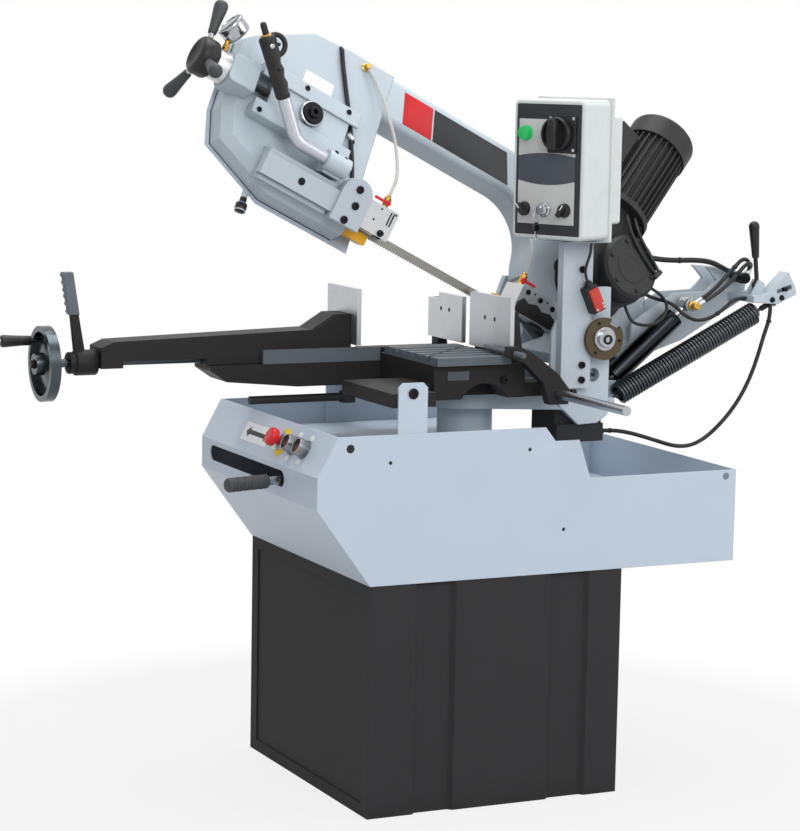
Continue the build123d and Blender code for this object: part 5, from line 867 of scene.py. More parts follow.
@dataclass
class Cabling:
    """The cables and hoses, with ties, glands and fittings."""

    front_fitting: tuple[float, float] = (-352.0, 336.0)
    rear_fitting: tuple[float, float] = (120.0, 230.0)
    valve: Vec = (28.0, 636.0, 1268.0)
    pin: Vec = (78.0, 539.0, 1153.0)
    stud: Vec = (134.0, 705.0, 1280.0)
    bolts: tuple[Vec, Vec] = ((136.0, 688.0, 1245.0), (136.0, 708.0, 1260.0))
    gland: Vec = (122.0, 348.0, 758.0)
    gland_gap: float = 45.0
    tail_yz: tuple[tuple[float, float], ...] = (
        (408, 753), (446, 743), (490, 729), (535, 715), (575, 714), (612, 729), (648, 757), (680, 790),
        (706, 826), (728, 868), (745, 915), (759, 962))
    tail_end: Vec = (128.0, 772.0, 1027.6)

    def tail_route(self) -> tuple[Vec, ...]:
        """From the pedestal's gland, hanging behind, up to the tail bracket.

        Returns:
            Points in the machine.
        """
        (x, y, z), (end_x, end_y, end_z) = self.gland, self.tail_end
        step = (end_x - x) / len(self.tail_yz)
        middle = tuple((x + step * index, *spot) for index, spot in enumerate(self.tail_yz))
        return (self.gland, (x, y + 24.0, z), *middle, (end_x, end_y, end_z - 30.0), self.tail_end)

    def feed_routes(self) -> tuple[tuple[Vec, ...], ...]:
        """Two hydraulic hoses from the cylinder's pin up the tail and over into the feed valve.

        Returns:
            Two routes in the bow's frame.
        """
        near = ((86, 541, 1162), (87, 552, 1178), (88, 570, 1212), (88, 583, 1252), (87, 594, 1281),
                (86, 600, 1297), (82, 613, 1306), (76, 629, 1304), (71, 640, 1291), (70, 640, 1280))
        far = ((98, 543, 1158), (99, 555, 1175), (99, 577, 1208), (99, 592, 1242), (98, 602, 1270),
               (96, 609, 1289), (88, 622, 1301), (75, 637, 1302), (62, 645, 1291), (57, 644, 1280))
        return near, far

    def strand_routes(self) -> tuple[tuple[Vec, ...], ...]:
        """Two motor leads from under the flange, across the gearbox cover to the clip at its edge.

        Returns:
            Two routes in the bow's frame.
        """
        first = ((292, 262, 178), (294, 236, 191), (312, 211, 194.2), (340, 188, 194.2), (372, 168, 194.2),
                 (399, 157, 194.2))
        other = ((312, 264, 180), (316, 240, 191), (332, 219, 194.2), (356, 200, 194.2), (380, 183, 194.2),
                 (401, 167, 194.2))
        return tuple(tuple(bow_point(*spot) for spot in route) for route in (first, other))

    def cords(self) -> None:
        """Lays the cables and hoses with their ties."""
        tail = Cord("tail_cable", MACHINE, self.tail_route(), 4.5)
        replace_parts(tail.bending(), "tail_cables")
        ties, low_ties = Shape("cable_ties"), Shape("low_cable_ties")
        tail.tie(low_ties, 0.04)
        tail.tie(ties, 0.95)
        slack = Cord("slack_cable", BOW, (
            gear_point(0, 110, 0.05), gear_point(0, 110, 40), (98, 478, 1132), (104, 514, 1120),
            (104, 552, 1122), (104, 583, 1146), (104, 603, 1178), (104, 617, 1212.8), (104, 642.9, 1224)),
            4.0)
        supply = Cord("supply_cable", BOW, (
            gear_point(50, 100, 0.05), gear_point(50, 100, 38), (22, 440, 1214), (34, 478, 1231),
            (44, 516, 1252), (50, 552, 1266), (50, 588, 1268), (50, 623.95, 1268)), 6.0)
        loop = Cord("loop_cable", BOW, (
            gear_point(8, 125, 0.05), gear_point(8, 125, 40), (94, 474, 1126), (101, 474, 1090),
            (101, 452, 1062), (97, 420, 1050), gear_point(-50, 125, 30), gear_point(-50, 125, 0.05)),
            3.5, "limp")
        rear = Cord("rear_hose", BOW, (
            (16, 158, 1040), (16, 158, 1065), (8, 153, 1092), (-8, 146, 1117), (-24, 137, 1142),
            hose_outlet(*self.rear_fitting, -70)), 3.5, finish=HOSE)
        for cord in (slack, supply, loop):
            cord.fixed("bow")
        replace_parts(rear.fixed("bow"), "bow_cables")
        supply.tie(ties, 0.45)
        slack.tie(ties, 0.72)
        for side, route in zip("ab", self.feed_routes()):
            hose = Cord("feed_hose_" + side, BOW, route, 4.6, "limp")
            hose.fixed("bow")
            hose.tie(ties, 0.42)
        ties.build("bow", "cable_black")
        low_ties.build("turret", "cable_black")
        for side, route in zip("ab", self.strand_routes()):
            Cord("motor_lead_" + side, BOW, route, 3.6, "limp").fixed("bow")
        front = Cord("front_hose", BOW, (
            hose_outlet(*self.front_fitting, -40), (-65, -321, 1252), (-45, -296, 1221), (-25, -271, 1186),
            (-6, -249, 1151), (8, -231, 1115), (16, -218, 1082), (16, -216, 1060), (16, -216, 1040.3)), 3.5,
            finish=HOSE)
        front.bending()

    def fittings(self) -> None:
        """Hose fittings, the feed valve's body, the end bracket's bolts and stud, and cable glands."""
        shape = Shape("hose_fittings")
        elbow = [(9, 0), (9, 2), (7.5, 3, 1), (7.5, 8, 1), (6.2, 9), (6.2, 14), (5, 15), (0, 15)]
        for p, q in (self.front_fitting, self.rear_fitting):
            shape.lathe(WHEELS.facing((p, q, ARM_N)), elbow, BRASS, 24)
        valve = [(12, 0), (12, 30), (13.5, 31, 1), (13.5, 46, 1), (12, 47), (12, 52)]
        shape.lathe(BOW.facing(self.valve, (1, 0, 0)), valve, BLACKING)
        pin = [(7, -1), (12, 0, 1), (12, 8, 1), (9, 9), (9, 24), (7, 26), (0, 26)]
        shape.lathe(BOW.facing(self.pin, (1, 0, 0)), pin, BRASS, 24)
        nipple = [(4.6, -6), (5.8, -4, 1), (5.8, 4, 1), (5.2, 5), (5.2, 15), (4.8, 16)]
        ferrule = [(5, -3), (6.2, -2, 1), (6.2, 5, 1), (5.4, 6), (5.4, 14), (5, 15)]
        for route in self.feed_routes():
            line = np.array(route)
            shape.lathe(BOW.facing(route[0], tuple(line[1] - line[0])), nipple, BRIGHT, 24)
            shape.lathe(BOW.facing(route[-1], tuple(line[-2] - line[-1])), ferrule, BRIGHT, 24)
        for spot in self.bolts:
            shape.bolt(BOW.facing(spot, (1, 0, 0)), 5.4, 5.0)
        stud = [(4, -4), (4, 12), (3.4, 13), (0, 13)]
        shape.lathe(BOW.facing(self.stud, (1, 0, 0)), stud, BLACKING, 24)
        shape.build("bow", "bright_steel")
        glands = Shape("cable_glands")
        gland = [(13, 0), (13, 6), (11.5, 7, 1), (11.5, 16, 1), (9, 20), (6, 24), (5, 25)]
        x, y, z = self.gland
        for across in (x, x - self.gland_gap):
            glands.lathe(MACHINE.facing((across, y - 20.0, z), (0, 1, 0)), gland, BLACK)
        glands.build("turret", "black_plastic")

    def build(self) -> None:
        """Makes the cords and what holds them."""
        self.cords()
        self.fittings()


@dataclass
class Springs:
    """The two tension springs, round wire with closed end hooks."""

    places: tuple[float, float] = (112.0, -102.0)
    bar: tuple[float, float] = (366.0, 823.0)
    eye: tuple[float, float] = (685.0, 1219.0)
    coil: float = 22.0
    wire: float = 3.7
    turns: float = 50.5
    leg: float = 15.0
    off_bar: float = 10.6
    off_both: float = 11.0
    held: float = 40.0
    thread: float = 95.0
    nuts: tuple[float, float] = (34.0, 62.0)

    def path(self, length: float) -> Array:
        """A helix of the coil radius along z, whose ends swing in to the axis and run out straight.

        Args:
            length: From the bar to the eye.

        Returns:
            Points (n, 3) along z.
        """
        share = np.linspace(0.0, 1.0, int(self.turns * 20) + 1)
        angle = 2.0 * pi * self.turns * share
        ease = np.clip(np.minimum(share, 1.0 - share) * self.turns / 0.75, 0.0, 1.0)
        radius = self.coil * ease * ease * (3.0 - 2.0 * ease)
        high = self.leg + (length - 2.0 * self.leg) * share
        coil = np.stack([radius * np.cos(angle), radius * np.sin(angle), high], -1)
        low, top = np.zeros((4, 3)), np.zeros((4, 3))
        low[:, 2] = np.linspace(0.0, self.leg * 0.9, 4)
        top[:, 2] = np.linspace(length - self.leg * 0.9, length, 4)
        return np.concatenate([low, coil, top])

    def build(self) -> None:
        """Makes both springs and their threaded eyebolts."""
        eye = BOW.spot((0.0, *self.eye))
        bolts = Shape("eyebolts")
        for name, x in zip(("spring_right", "spring_left"), self.places):
            low, high = np.array([x, *self.bar]), np.array([x, eye[1], eye[2]])
            out = unit(high - low)
            length = float(np.linalg.norm(high - low)) - self.off_both
            place = MACHINE.facing(tuple(low + out * self.off_bar), tuple(out))
            shape = Shape(name + "_coil")
            shape.tube(place, self.path(length), self.wire, SPRING, (0, 0.02, 1), 10)
            made = shape.build(None)
            start, end = low + out * self.held, high - out * self.held
            tuple(start * MM)
            tuple(end * MM)
            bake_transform(made)
            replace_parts(made, name)
            rows = [(6.1 + 0.5 * (level % 2), float(level)) for level in range(int(self.thread))]
            bolts.lathe(MACHINE.facing(tuple(high), tuple(out)), [(0, -0.5), *rows, (0, self.thread + 0.5)],
                        BLACKING, 12)
            for along in self.nuts:
                bolts.bolt(MACHINE.facing(tuple(high + out * along), tuple(out)), 10.0, 9.0)
        bolts.build("bow", "spring_black")


# Sub-assemblies on the base


@dataclass
class TrayFront:
    """Buttons, legends, arrow plate and lever on the sloping tray front."""

    estop_x: float = 85.0
    button_x: tuple[float, float] = (147.0, 205.0)
    wall_x: float = 320.0
    tabs: tuple[Vec, Vec] = ((1.0, -206.0, 884.0), (-1.0, -88.0, 870.0))
    holes: tuple[Vec, ...] = ((-346.0, 777.0, 8.9), (-256.0, 744.0, 3.9), (65.0, 757.0, 3.9),
                              (150.0, 583.0, 3.9))
    pivot_y: float = 72.0
    lever_z: float = 688.0
    lever_bend: tuple[float, float] = (123.0, -418.0)
    lever_tip_y: float = -548.0
    ribs: int = 5

    def legends(self) -> None:
        """Yellow legend disc, white arrow plate and legends, and the stop's collar."""
        shape = Shape("panel_legends")
        stop = SLOPE.facing((self.estop_x, 0.0, 0.0))
        shape.lathe(stop, [(31, 0), (31, 0.6), (30.4, 1.0), (0, 1.0)], YELLOW_LEGEND, 48)
        collar = [(9.6, 1.0), (22.4, 1.0), (22.4, 6.0), (20.5, 8.6), (9.6, 8.6)]
        shape.lathe(stop, collar, YELLOW_LEGEND, 48, True)
        shape.slab(SLOPE, rounded(70.0, 21.0, 2.0, (-54.0, -2.0)), 0.0, 0.8, WHITE, 0.3)
        arrow = np.array([(-90, -14), (-90, -7), (-8, -7), (-8, -14), (10, -2), (-8, 10), (-8, 3), (-90, 3),
                          (-90, 10), (-108, -2)])
        shape.slab(SLOPE, arrow, 0.8, 1.2, INK, 0.1)
        for x in self.button_x:
            for side in (1.0, -1.0):
                spot = rounded(9.0, 6.0, 5.0, (x + side * 6.0, side * 27.0))
                shape.slab(SLOPE, spot, 0.0, 0.6, WHITE, 0.2)
        shape.build("base", "guard_yellow")

    def stop_head(self) -> None:
        """Mushroom head with a grooved skirt and a dished top."""
        shape = Shape("estop_head")
        rows = [(0, 8.4), (9, 8.4), (9, 19), (13, 19.3), (19, 20.5), (20, 22.5), (20, 29), (19.2, 32.5),
                (17, 35.5), (13, 37), (7, 36.2), (0, 35.8)]
        shape.lathe(SLOPE.facing((self.estop_x, 0.0, 0.0)), rows, RED, 48)
        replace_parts(shape.build("estop", "red_plastic"), "estop_button")

    def rings(self) -> None:
        """Bright guard rings over the CAD ones, with rolled rims."""
        shape = Shape("guard_rings")
        rows = [(20.5, 0), (20.5, 3), (18.4, 3.4), (18.4, 23), (17.6, 24.4), (15.6, 24.4), (14.9, 23.6),
                (14.9, 0)]
        for x in self.button_x:
            shape.lathe(SLOPE.facing((x, 0.0, 0.0)), rows, RING, 48, True)
        shape.build("base", "bright_steel")

    def lever(self) -> None:
        """Bright stalk and ribbed grip of the mitre lock, on its boss and flat bar."""
        across, run = self.lever_bend[0], self.lever_bend[1] - self.pivot_y
        turn, length = np.arctan2(run, across), float(np.hypot(across, run))
        way = (cos(turn), sin(turn), 0.0)
        out = length + 18.0
        long = length * (self.lever_tip_y - self.pivot_y) / run - out
        spot = (way[0] * out, self.pivot_y + way[1] * out)
        place = MACHINE.facing((*spot, self.lever_z), way)
        shape = Shape("mitre_lever_grip")
        shape.lathe(place, [(9, -30), (9, 14), (11, 15), (11, 16)], BRIGHT)
        step = (long - 26.0) / self.ribs
        rows: list[tuple] = [(8, 15.5), (14, 15.5), (15, 17)]
        for index in range(self.ribs):
            at = 22.0 + step * index
            rows += [(15, at - 2), (13.2, at), (13.2, at + 3), (15, at + 5), (15, at + step - 4)]
        rows += [(15, long - 4), (13, long - 1), (8, long), (0, long)]
        shape.lathe(place, rows, GRIP)
        shape.slab(MACHINE.facing((*spot, self.lever_z + 10.0), side=way),
                   rounded(14.0, 9.0, 3.0, (-40.0, 0.0)), -18.0, -2.0, BRIGHT, 2.0)
        boss = MACHINE.facing((0.0, self.pivot_y, self.lever_z - 10.0))
        shape.lathe(boss, [(14.1, 0), (30.8, 0), (30.8, 20), (14.1, 20)], DRIVE, 36, True)
        bar = MACHINE.facing((0.0, self.pivot_y, self.lever_z - 6.0), side=way)
        shape.slab(bar, rounded(out / 2 - 20.0, 11.0, 2.0, (out / 2 + 8.0, 0.0)), 0.0, 12.0, DRIVE, 1.0)
        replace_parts(shape.build("mitre_lock", "bright_steel"), "mitre_lever")

    def screws(self) -> None:
        """Screws in the tray tabs and black plugs in the wall's holes."""
        shape = Shape("tray_screws")
        for side, y, z in self.tabs:
            shape.screw(MACHINE.facing((side * (self.wall_x - 3.0), y, z), (side, 0, 0)), 11.0, 3.0)
        for y, z, radius in self.holes:
            plug = MACHINE.facing((self.wall_x - 2.0, y, z), (1, 0, 0))
            shape.lathe(plug, [(radius, -1), (radius, 1), (0, 1.2)], BLACK, 24)
        shape.build("base", "black_plastic")

    def build(self) -> None:
        """Dresses the tray front."""
        self.legends()
        self.stop_head()
        self.rings()
        self.lever()
        self.screws()


@dataclass
class Vise:
    """Small pieces of the vise: lock lever, screws, bare plate, stop and crank."""

    x: float = -110.0
    z: float = 919.0
    lock_y: float = -776.0
    face_x: float = 205.0
    column: Vec = (0.0, 72.0, 738.6)
    jaws: tuple[tuple[float, float], ...] = ((15.0, 205.0), (-190.0, -22.0))
    jaw_yz: tuple[float, float] = (78.0, 1011.5)
    finger: Vec = (118.0, 58.0, 951.0)
    arm_nut: Vec = (246.0, 185.0, 862.0)
    crank_y: float = -870.0
    crank_reach: float = 58.0
    crank_turn: float = radians(52.0)

    def lock(self) -> None:
        """Cam hub, flat bar and ribbed grip of the vise lock."""
        shape = Shape("vise_lock")
        hub = MACHINE.facing((self.x, self.lock_y - 26.0, self.z), (0, 1, 0))
        shape.lathe(hub, [(9.05, 0), (21, 0), (23, 2), (23, 14), (26, 15), (27, 17), (27, 60), (26, 61.5),
                          (9.05, 61.7)], IRON, 48, True)
        side = MACHINE.across(self.x)
        bar = np.array([(-788, 938), (-764, 938), (-780, 1030), (-798, 1030)])
        shape.slab(side, bar, -6.0, 6.0, IRON, 2.0, 2.0)
        high = np.linspace(0.0, 1.0, 41)
        tooth = 2.2 * (np.abs(((high * 6.0) % 1.0) - 0.5) < 0.22)
        front = np.stack([-800.0 - 14.0 * high - tooth, 1020.0 + 89.0 * high], -1)
        back = np.stack([-778.0 - 14.0 * high, 1020.0 + 89.0 * high], -1)[::-1]
        # the grip takes the lighter copy of the grip moulding: painted highlight
        shape.slab(side, np.concatenate([front, back])[::-1], -11.0, 11.0, LIT_GRIP, 1.6, 1.6)
        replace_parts(shape.build("vise_lock", "vise_black"), "vise_lock_lever")

    def details(self) -> None:
        """Bare name plate place, column sleeve and jaw screws."""
        plate = Shape("vise_plate")
        face = MACHINE.across(self.face_x)
        plate.slab(face, rounded(25.0, 9.5, 1.5, (-48.0, 902.0)), 0.0, 0.8, PANEL_BAND, 0.3)
        plate.screw(MACHINE.facing((self.face_x, 60.0, 890.0), (1, 0, 0)), 8.0, 5.0)
        plate.build("base", "guide_metal")
        sleeve = Shape("column_sleeve")
        sleeve.lathe(MACHINE.facing(self.column), [(60.6, 0), (60.6, 75.2)], CAST, 96)
        sleeve.build("base", "cast_grey")
        screws = Shape("jaw_screws")
        for low, high in self.jaws:
            for share in (0.38, 0.62):
                spot = (low + (high - low) * share, *self.jaw_yz)
                screws.screw(MACHINE.facing(spot, (0, -1, 0)), 4.9, 3.0)
        screws.build("base", "black_plastic")

    def stop(self) -> None:
        """The length stop's bright finger and the nut on its arm."""
        shape = Shape("stop_finger")
        rows = [(0, -0.4), (5.2, -0.4), (6.2, 1), (6.2, 178), (5.2, 179.4), (0, 179.4)]
        shape.lathe(MACHINE.facing(self.finger, (1, 0, 0)), rows, TABLE, 24)
        nut = [(5.4, 0), (5.4, 14), (8.5, 14.5, 1), (8.5, 25, 1), (6, 26.3), (0, 26.3)]
        shape.lathe(MACHINE.facing(self.arm_nut, (0, 1, 0)), nut, BLACKING, 24)
        shape.build("length_stop", "bright_steel")

    def crank(self) -> None:
        """Waisted crank handle with a bright end screw, and the wheel's hub nut."""
        x = self.x - self.crank_reach * cos(self.crank_turn)
        z = self.z + self.crank_reach * sin(self.crank_turn)
        front = (0.0, -1.0, 0.0)
        shape = Shape("crank_grip")
        rows = [(5.1, 0), (9.5, 0), (10.2, 2), (10.6, 20), (12.2, 46), (13, 58), (12.4, 63), (9, 65.4),
                (5.1, 65.4)]
        shape.lathe(MACHINE.facing((x, self.crank_y, z), front), rows, BLACK, 36, True)
        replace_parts(shape.build("vise_crank", "black_plastic"), "crank_handle")
        nut = Shape("wheel_nut")
        nut.bolt(MACHINE.facing((self.x, self.crank_y - 4.0, self.z), front), 9.0, 8.0)
        nut.screw(MACHINE.facing((x, self.crank_y - 66.0, z), front), 5.6, 3.5, BRIGHT)
        nut.build("vise_wheel", "bright_steel")

    def build(self) -> None:
        """Dresses the vise."""
        self.lock()
        self.details()
        self.stop()
        self.crank()


# Sub-assemblies on the turret


@dataclass
class ControlBox:
    """Front of the control box: bare label zones, lamp, switches and key."""

    high: float = 76.0
    low: float = -84.0
    lamp_x: float = -58.0
    switch_x: float = 28.0
    key_x: float = -6.0
    left_x: float = -58.0
    right_x: float = 46.0
    zone_x: float = -4.0
    zone_half: float = 73.0

    def label(self) -> None:
        """Dark frame with two pale zones and a band between them whose edges are parabolas."""
        shape = Shape("box_label")
        face = box_face(0.0, 0.0)
        middle, half = self.zone_x, self.zone_half
        shape.slab(face, rounded(83.0, 138.0, 3.0), 0.0, 0.8, PANEL_DARK, 0.3)
        for tall, level in ((39.0, 67.0), (46.0, -69.0)):
            shape.slab(face, rounded(half, tall, 1.5, (middle, level)), 0.8, 1.2, PANEL_LIGHT, 0.15)
        x = np.linspace(middle - half, middle + half, 24)
        bow = 1.0 - ((x - middle) / half) ** 2
        top = np.stack([x, 28.0 + 7.0 * bow], -1)
        foot = np.stack([x, -23.0 - 9.0 * bow], -1)
        shape.slab(face, np.concatenate([foot, top[::-1]]), 0.8, 1.5, PANEL_BAND, 0.1)
        shape.build("turret", "box_white")

    def lamp(self) -> None:
        """Ribbed lens in a dark ring."""
        ribs = [(14.6 + 0.5 * (index % 2), 3.0 + index) for index in range(9)]
        rows = [(15.4, 0), (16.2, 0.4), (16.2, 2.4), (15, 2.8), *ribs, (13.5, 14.5), (9, 16), (0, 16.6)]
        shape = Shape("lamp_lens")
        shape.lathe(box_face(self.lamp_x, self.high), rows, LAMP, 48)
        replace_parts(shape.build("turret", "lamp_green"), "pilot_lamp")

    def main_switch(self) -> None:
        """Square base with screws on the box, and the round knob with its lock bar."""
        place = box_face(self.switch_x, self.high)
        base = Shape("main_switch_base")
        base.slab(place, rounded(36.0, 40.0, 3.0, (8.0, 0.0)), 0.0, 6.0, BLACK, 1.2)
        for x, y in ((38.0, 33.0), (38.0, -33.0), (-21.0, 33.0)):
            base.screw(place.facing((x, y, 6.0)), 3.6, 1.0, CHROME)
        base.build("turret", "black_plastic")
        shape = Shape("main_switch_knob")
        rows = [(0, 6.3), (35, 6.3), (36, 8), (36, 19), (34.5, 21), (31, 21), (29.5, 18), (29, 13), (0, 12)]
        shape.lathe(place, rows, BLACK, 60)
        bar = np.array([(-9, -33), (9, -33), (11, -12), (9, 24), (5, 33), (-5, 33), (-9, 24), (-11, -12)])
        shape.slab(place, bar, 11.0, 36.0, BLACK, 4.0)
        shape.disc(place.facing((0.0, 20.0, 35.6)), 2.6, 0.5, PANEL_DARK)
        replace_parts(shape.build("main_knob", "black_plastic"), "main_switch")

    def selector(self, x: float, body: str, node: str, turn: float) -> None:
        """Small selector: bezel ring, round skirt, pointer bar with a white line.

        Args:
            x: Where it sits across the box.
            body: The CAD body that turns with it.
            node: The CAD node that it replaces.
            turn: The angle of its pointer.
        """
        place = box_face(x, self.low).facing((0.0, 0.0, 0.0), side=(cos(turn), sin(turn), 0.0))
        shape = Shape(node + "_knob")
        skirt = [(0, 0.4), (15, 0.4), (15, 4), (14, 5.5), (13.2, 11), (12, 12), (0, 12)]
        shape.lathe(place, skirt, BLACK)
        bar = np.array([(-4.5, -15), (4.5, -15), (4.5, 12), (2.5, 15), (-2.5, 15), (-4.5, 12)])
        shape.slab(place, bar, 11.0, 21.8, BLACK, 1.2)
        shape.slab(place, rounded(1.3, 6.5, 0.6, (0.0, 8.0)), 21.7, 22.2, WHITE, 0.1)
        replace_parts(shape.build(body, "black_plastic"), node)

    def key(self) -> None:
        """Bright barrel, key, split ring and a spare key that hangs from it."""
        place = box_face(self.key_x, self.low)
        shape = Shape("key_set")
        barrel = [(0, 0.4), (15.5, 0.4), (15.5, 5), (14, 6.5), (12, 7), (11.4, 12.5), (9, 14), (0, 14)]
        shape.lathe(place, barrel, CHROME, 48)
        flat = place.across(0.0)
        shape.slab(flat, rounded(9.0, 11.0, 5.0, (0.0, 24.0)), -1.2, 1.2, CHROME, 0.5, 0.5)
        angle = np.linspace(0.0, 2.0 * pi, 33)
        ring = np.stack([np.zeros(33), -16.0 + 11.0 * np.cos(angle), 30.0 + 11.0 * np.sin(angle)], -1)
        shape.tube(place, ring, 1.3, CHROME, (1, 0, 0), 8)
        shape.slab(flat, rounded(10.0, 10.0, 9.0, (-36.0, 31.0)), -1.4, 1.4, WHEEL, 0.6, 0.6)
        shape.slab(flat, rounded(10.0, 3.4, 0.8, (-55.0, 31.0)), -1.0, 1.0, CHROME, 0.3, 0.3)
        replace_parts(shape.build("key", "bright_steel"), "key_switch")

    def build(self) -> None:
        """Dresses the box."""
        self.label()
        self.lamp()
        self.main_switch()
        self.selector(self.left_x, "left_knob", "selector_left", radians(40.0))
        self.selector(self.right_x, "right_knob", "selector_right", radians(-35.0))
        self.key()


@dataclass
class Turret:
    """Limit switch, cam hub and the screws on the turret."""

    switch: Vec = (192.0, 272.0, 1057.0)
    lean: float = radians(24.0)
    wire_x: float = 207.0
    wire_top: float = 1178.0
    cam_x: float = 204.0
    screw_yz: tuple[tuple[float, float], ...] = ((254.0, 882.0), (254.0, 914.0), (250.0, 1120.0))

    def limit_switch(self) -> None:
        """Black switch body with a red lid, gland, roller and its cable."""
        x, (_, y, z) = self.wire_x, self.switch
        along, up = (0.0, cos(self.lean), sin(self.lean)), (0.0, -sin(self.lean), cos(self.lean))
        place = Place(self.switch, along, up, (1.0, 0.0, 0.0))
        shape = Shape("limit_switch_body")
        shape.slab(place, rounded(16.0, 30.0, 3.0), 0.0, 22.0, BLACK, 1.2)
        shape.slab(place, rounded(12.0, 25.0, 2.0, (1.5, -1.0)), 22.0, 29.0, LID, 1.5)
        for spot in ((-7.0, -21.0, 28.8), (10.0, -21.0, 28.8), (10.0, -13.0, 28.8)):
            shape.lathe(place.facing(spot), [(2.6, 0), (2.6, 1), (0, 1.2)], BRIGHT, 12)
        gland = place.facing((0.0, 29.0, 15.0), (0, 1, 0))
        shape.lathe(gland, [(10, 0), (10, 4, 1), (9.5, 8, 1), (8, 9), (8, 11), (6, 13), (3, 13.5)], BLACK)
        shape.slab(place, rounded(5.0, 4.0, 1.0, (0.0, -31.5)), 8.0, 14.0, BRIGHT, 0.6)
        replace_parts(shape.build("turret", "black_plastic"), "limit_switch")
        rise = [(x, y - long * sin(self.lean), z + long * cos(self.lean)) for long in (42, 60)]
        route = (*rise, (x, y - 20, z + 76), (x, y - 10, self.wire_top - 20.0), (x, y - 10, self.wire_top))
        Cord("switch_cable", MACHINE, route, 3.0, "limp").fixed("turret")

    def cam(self) -> None:
        """Chrome hub, retaining ring and screw on the cam disc."""
        shape = Shape("cam_hub")
        place = MACHINE.facing((self.cam_x, PIVOT_Y, PIVOT_Z), (1, 0, 0))
        shape.lathe(place, [(26, 0), (26, 3), (24.5, 4.5), (15, 4.5)], CHROME, 48)
        shape.lathe(place, [(19, 4), (18.6, 12), (17, 13.5), (11, 13.5)], CHROME, 48)
        shape.lathe(place, [(10.9, 9), (10.5, 16), (7, 16.6, 1), (7, 10, 1), (0, 10)], BLACKING, 48)
        for x, y in circle(37.0, 3, 0.4):
            shape.screw(place.facing((x, y, 0.0)), 3.4, 1.2)
        shape.build("bow", "bright_steel")

    def screws(self) -> None:
        """Socket screws on the bracket and the cheek."""
        shape = Shape("turret_screws")
        for y, z in self.screw_yz:
            shape.screw(MACHINE.facing((self.switch[0], y, z), (1, 0, 0)), 7.5, 6.5)
        shape.build("turret", "black_plastic")

    def build(self) -> None:
        """Dresses the turret."""
        self.limit_switch()
        self.cam()
        self.screws()


# Sub-assemblies on the bow


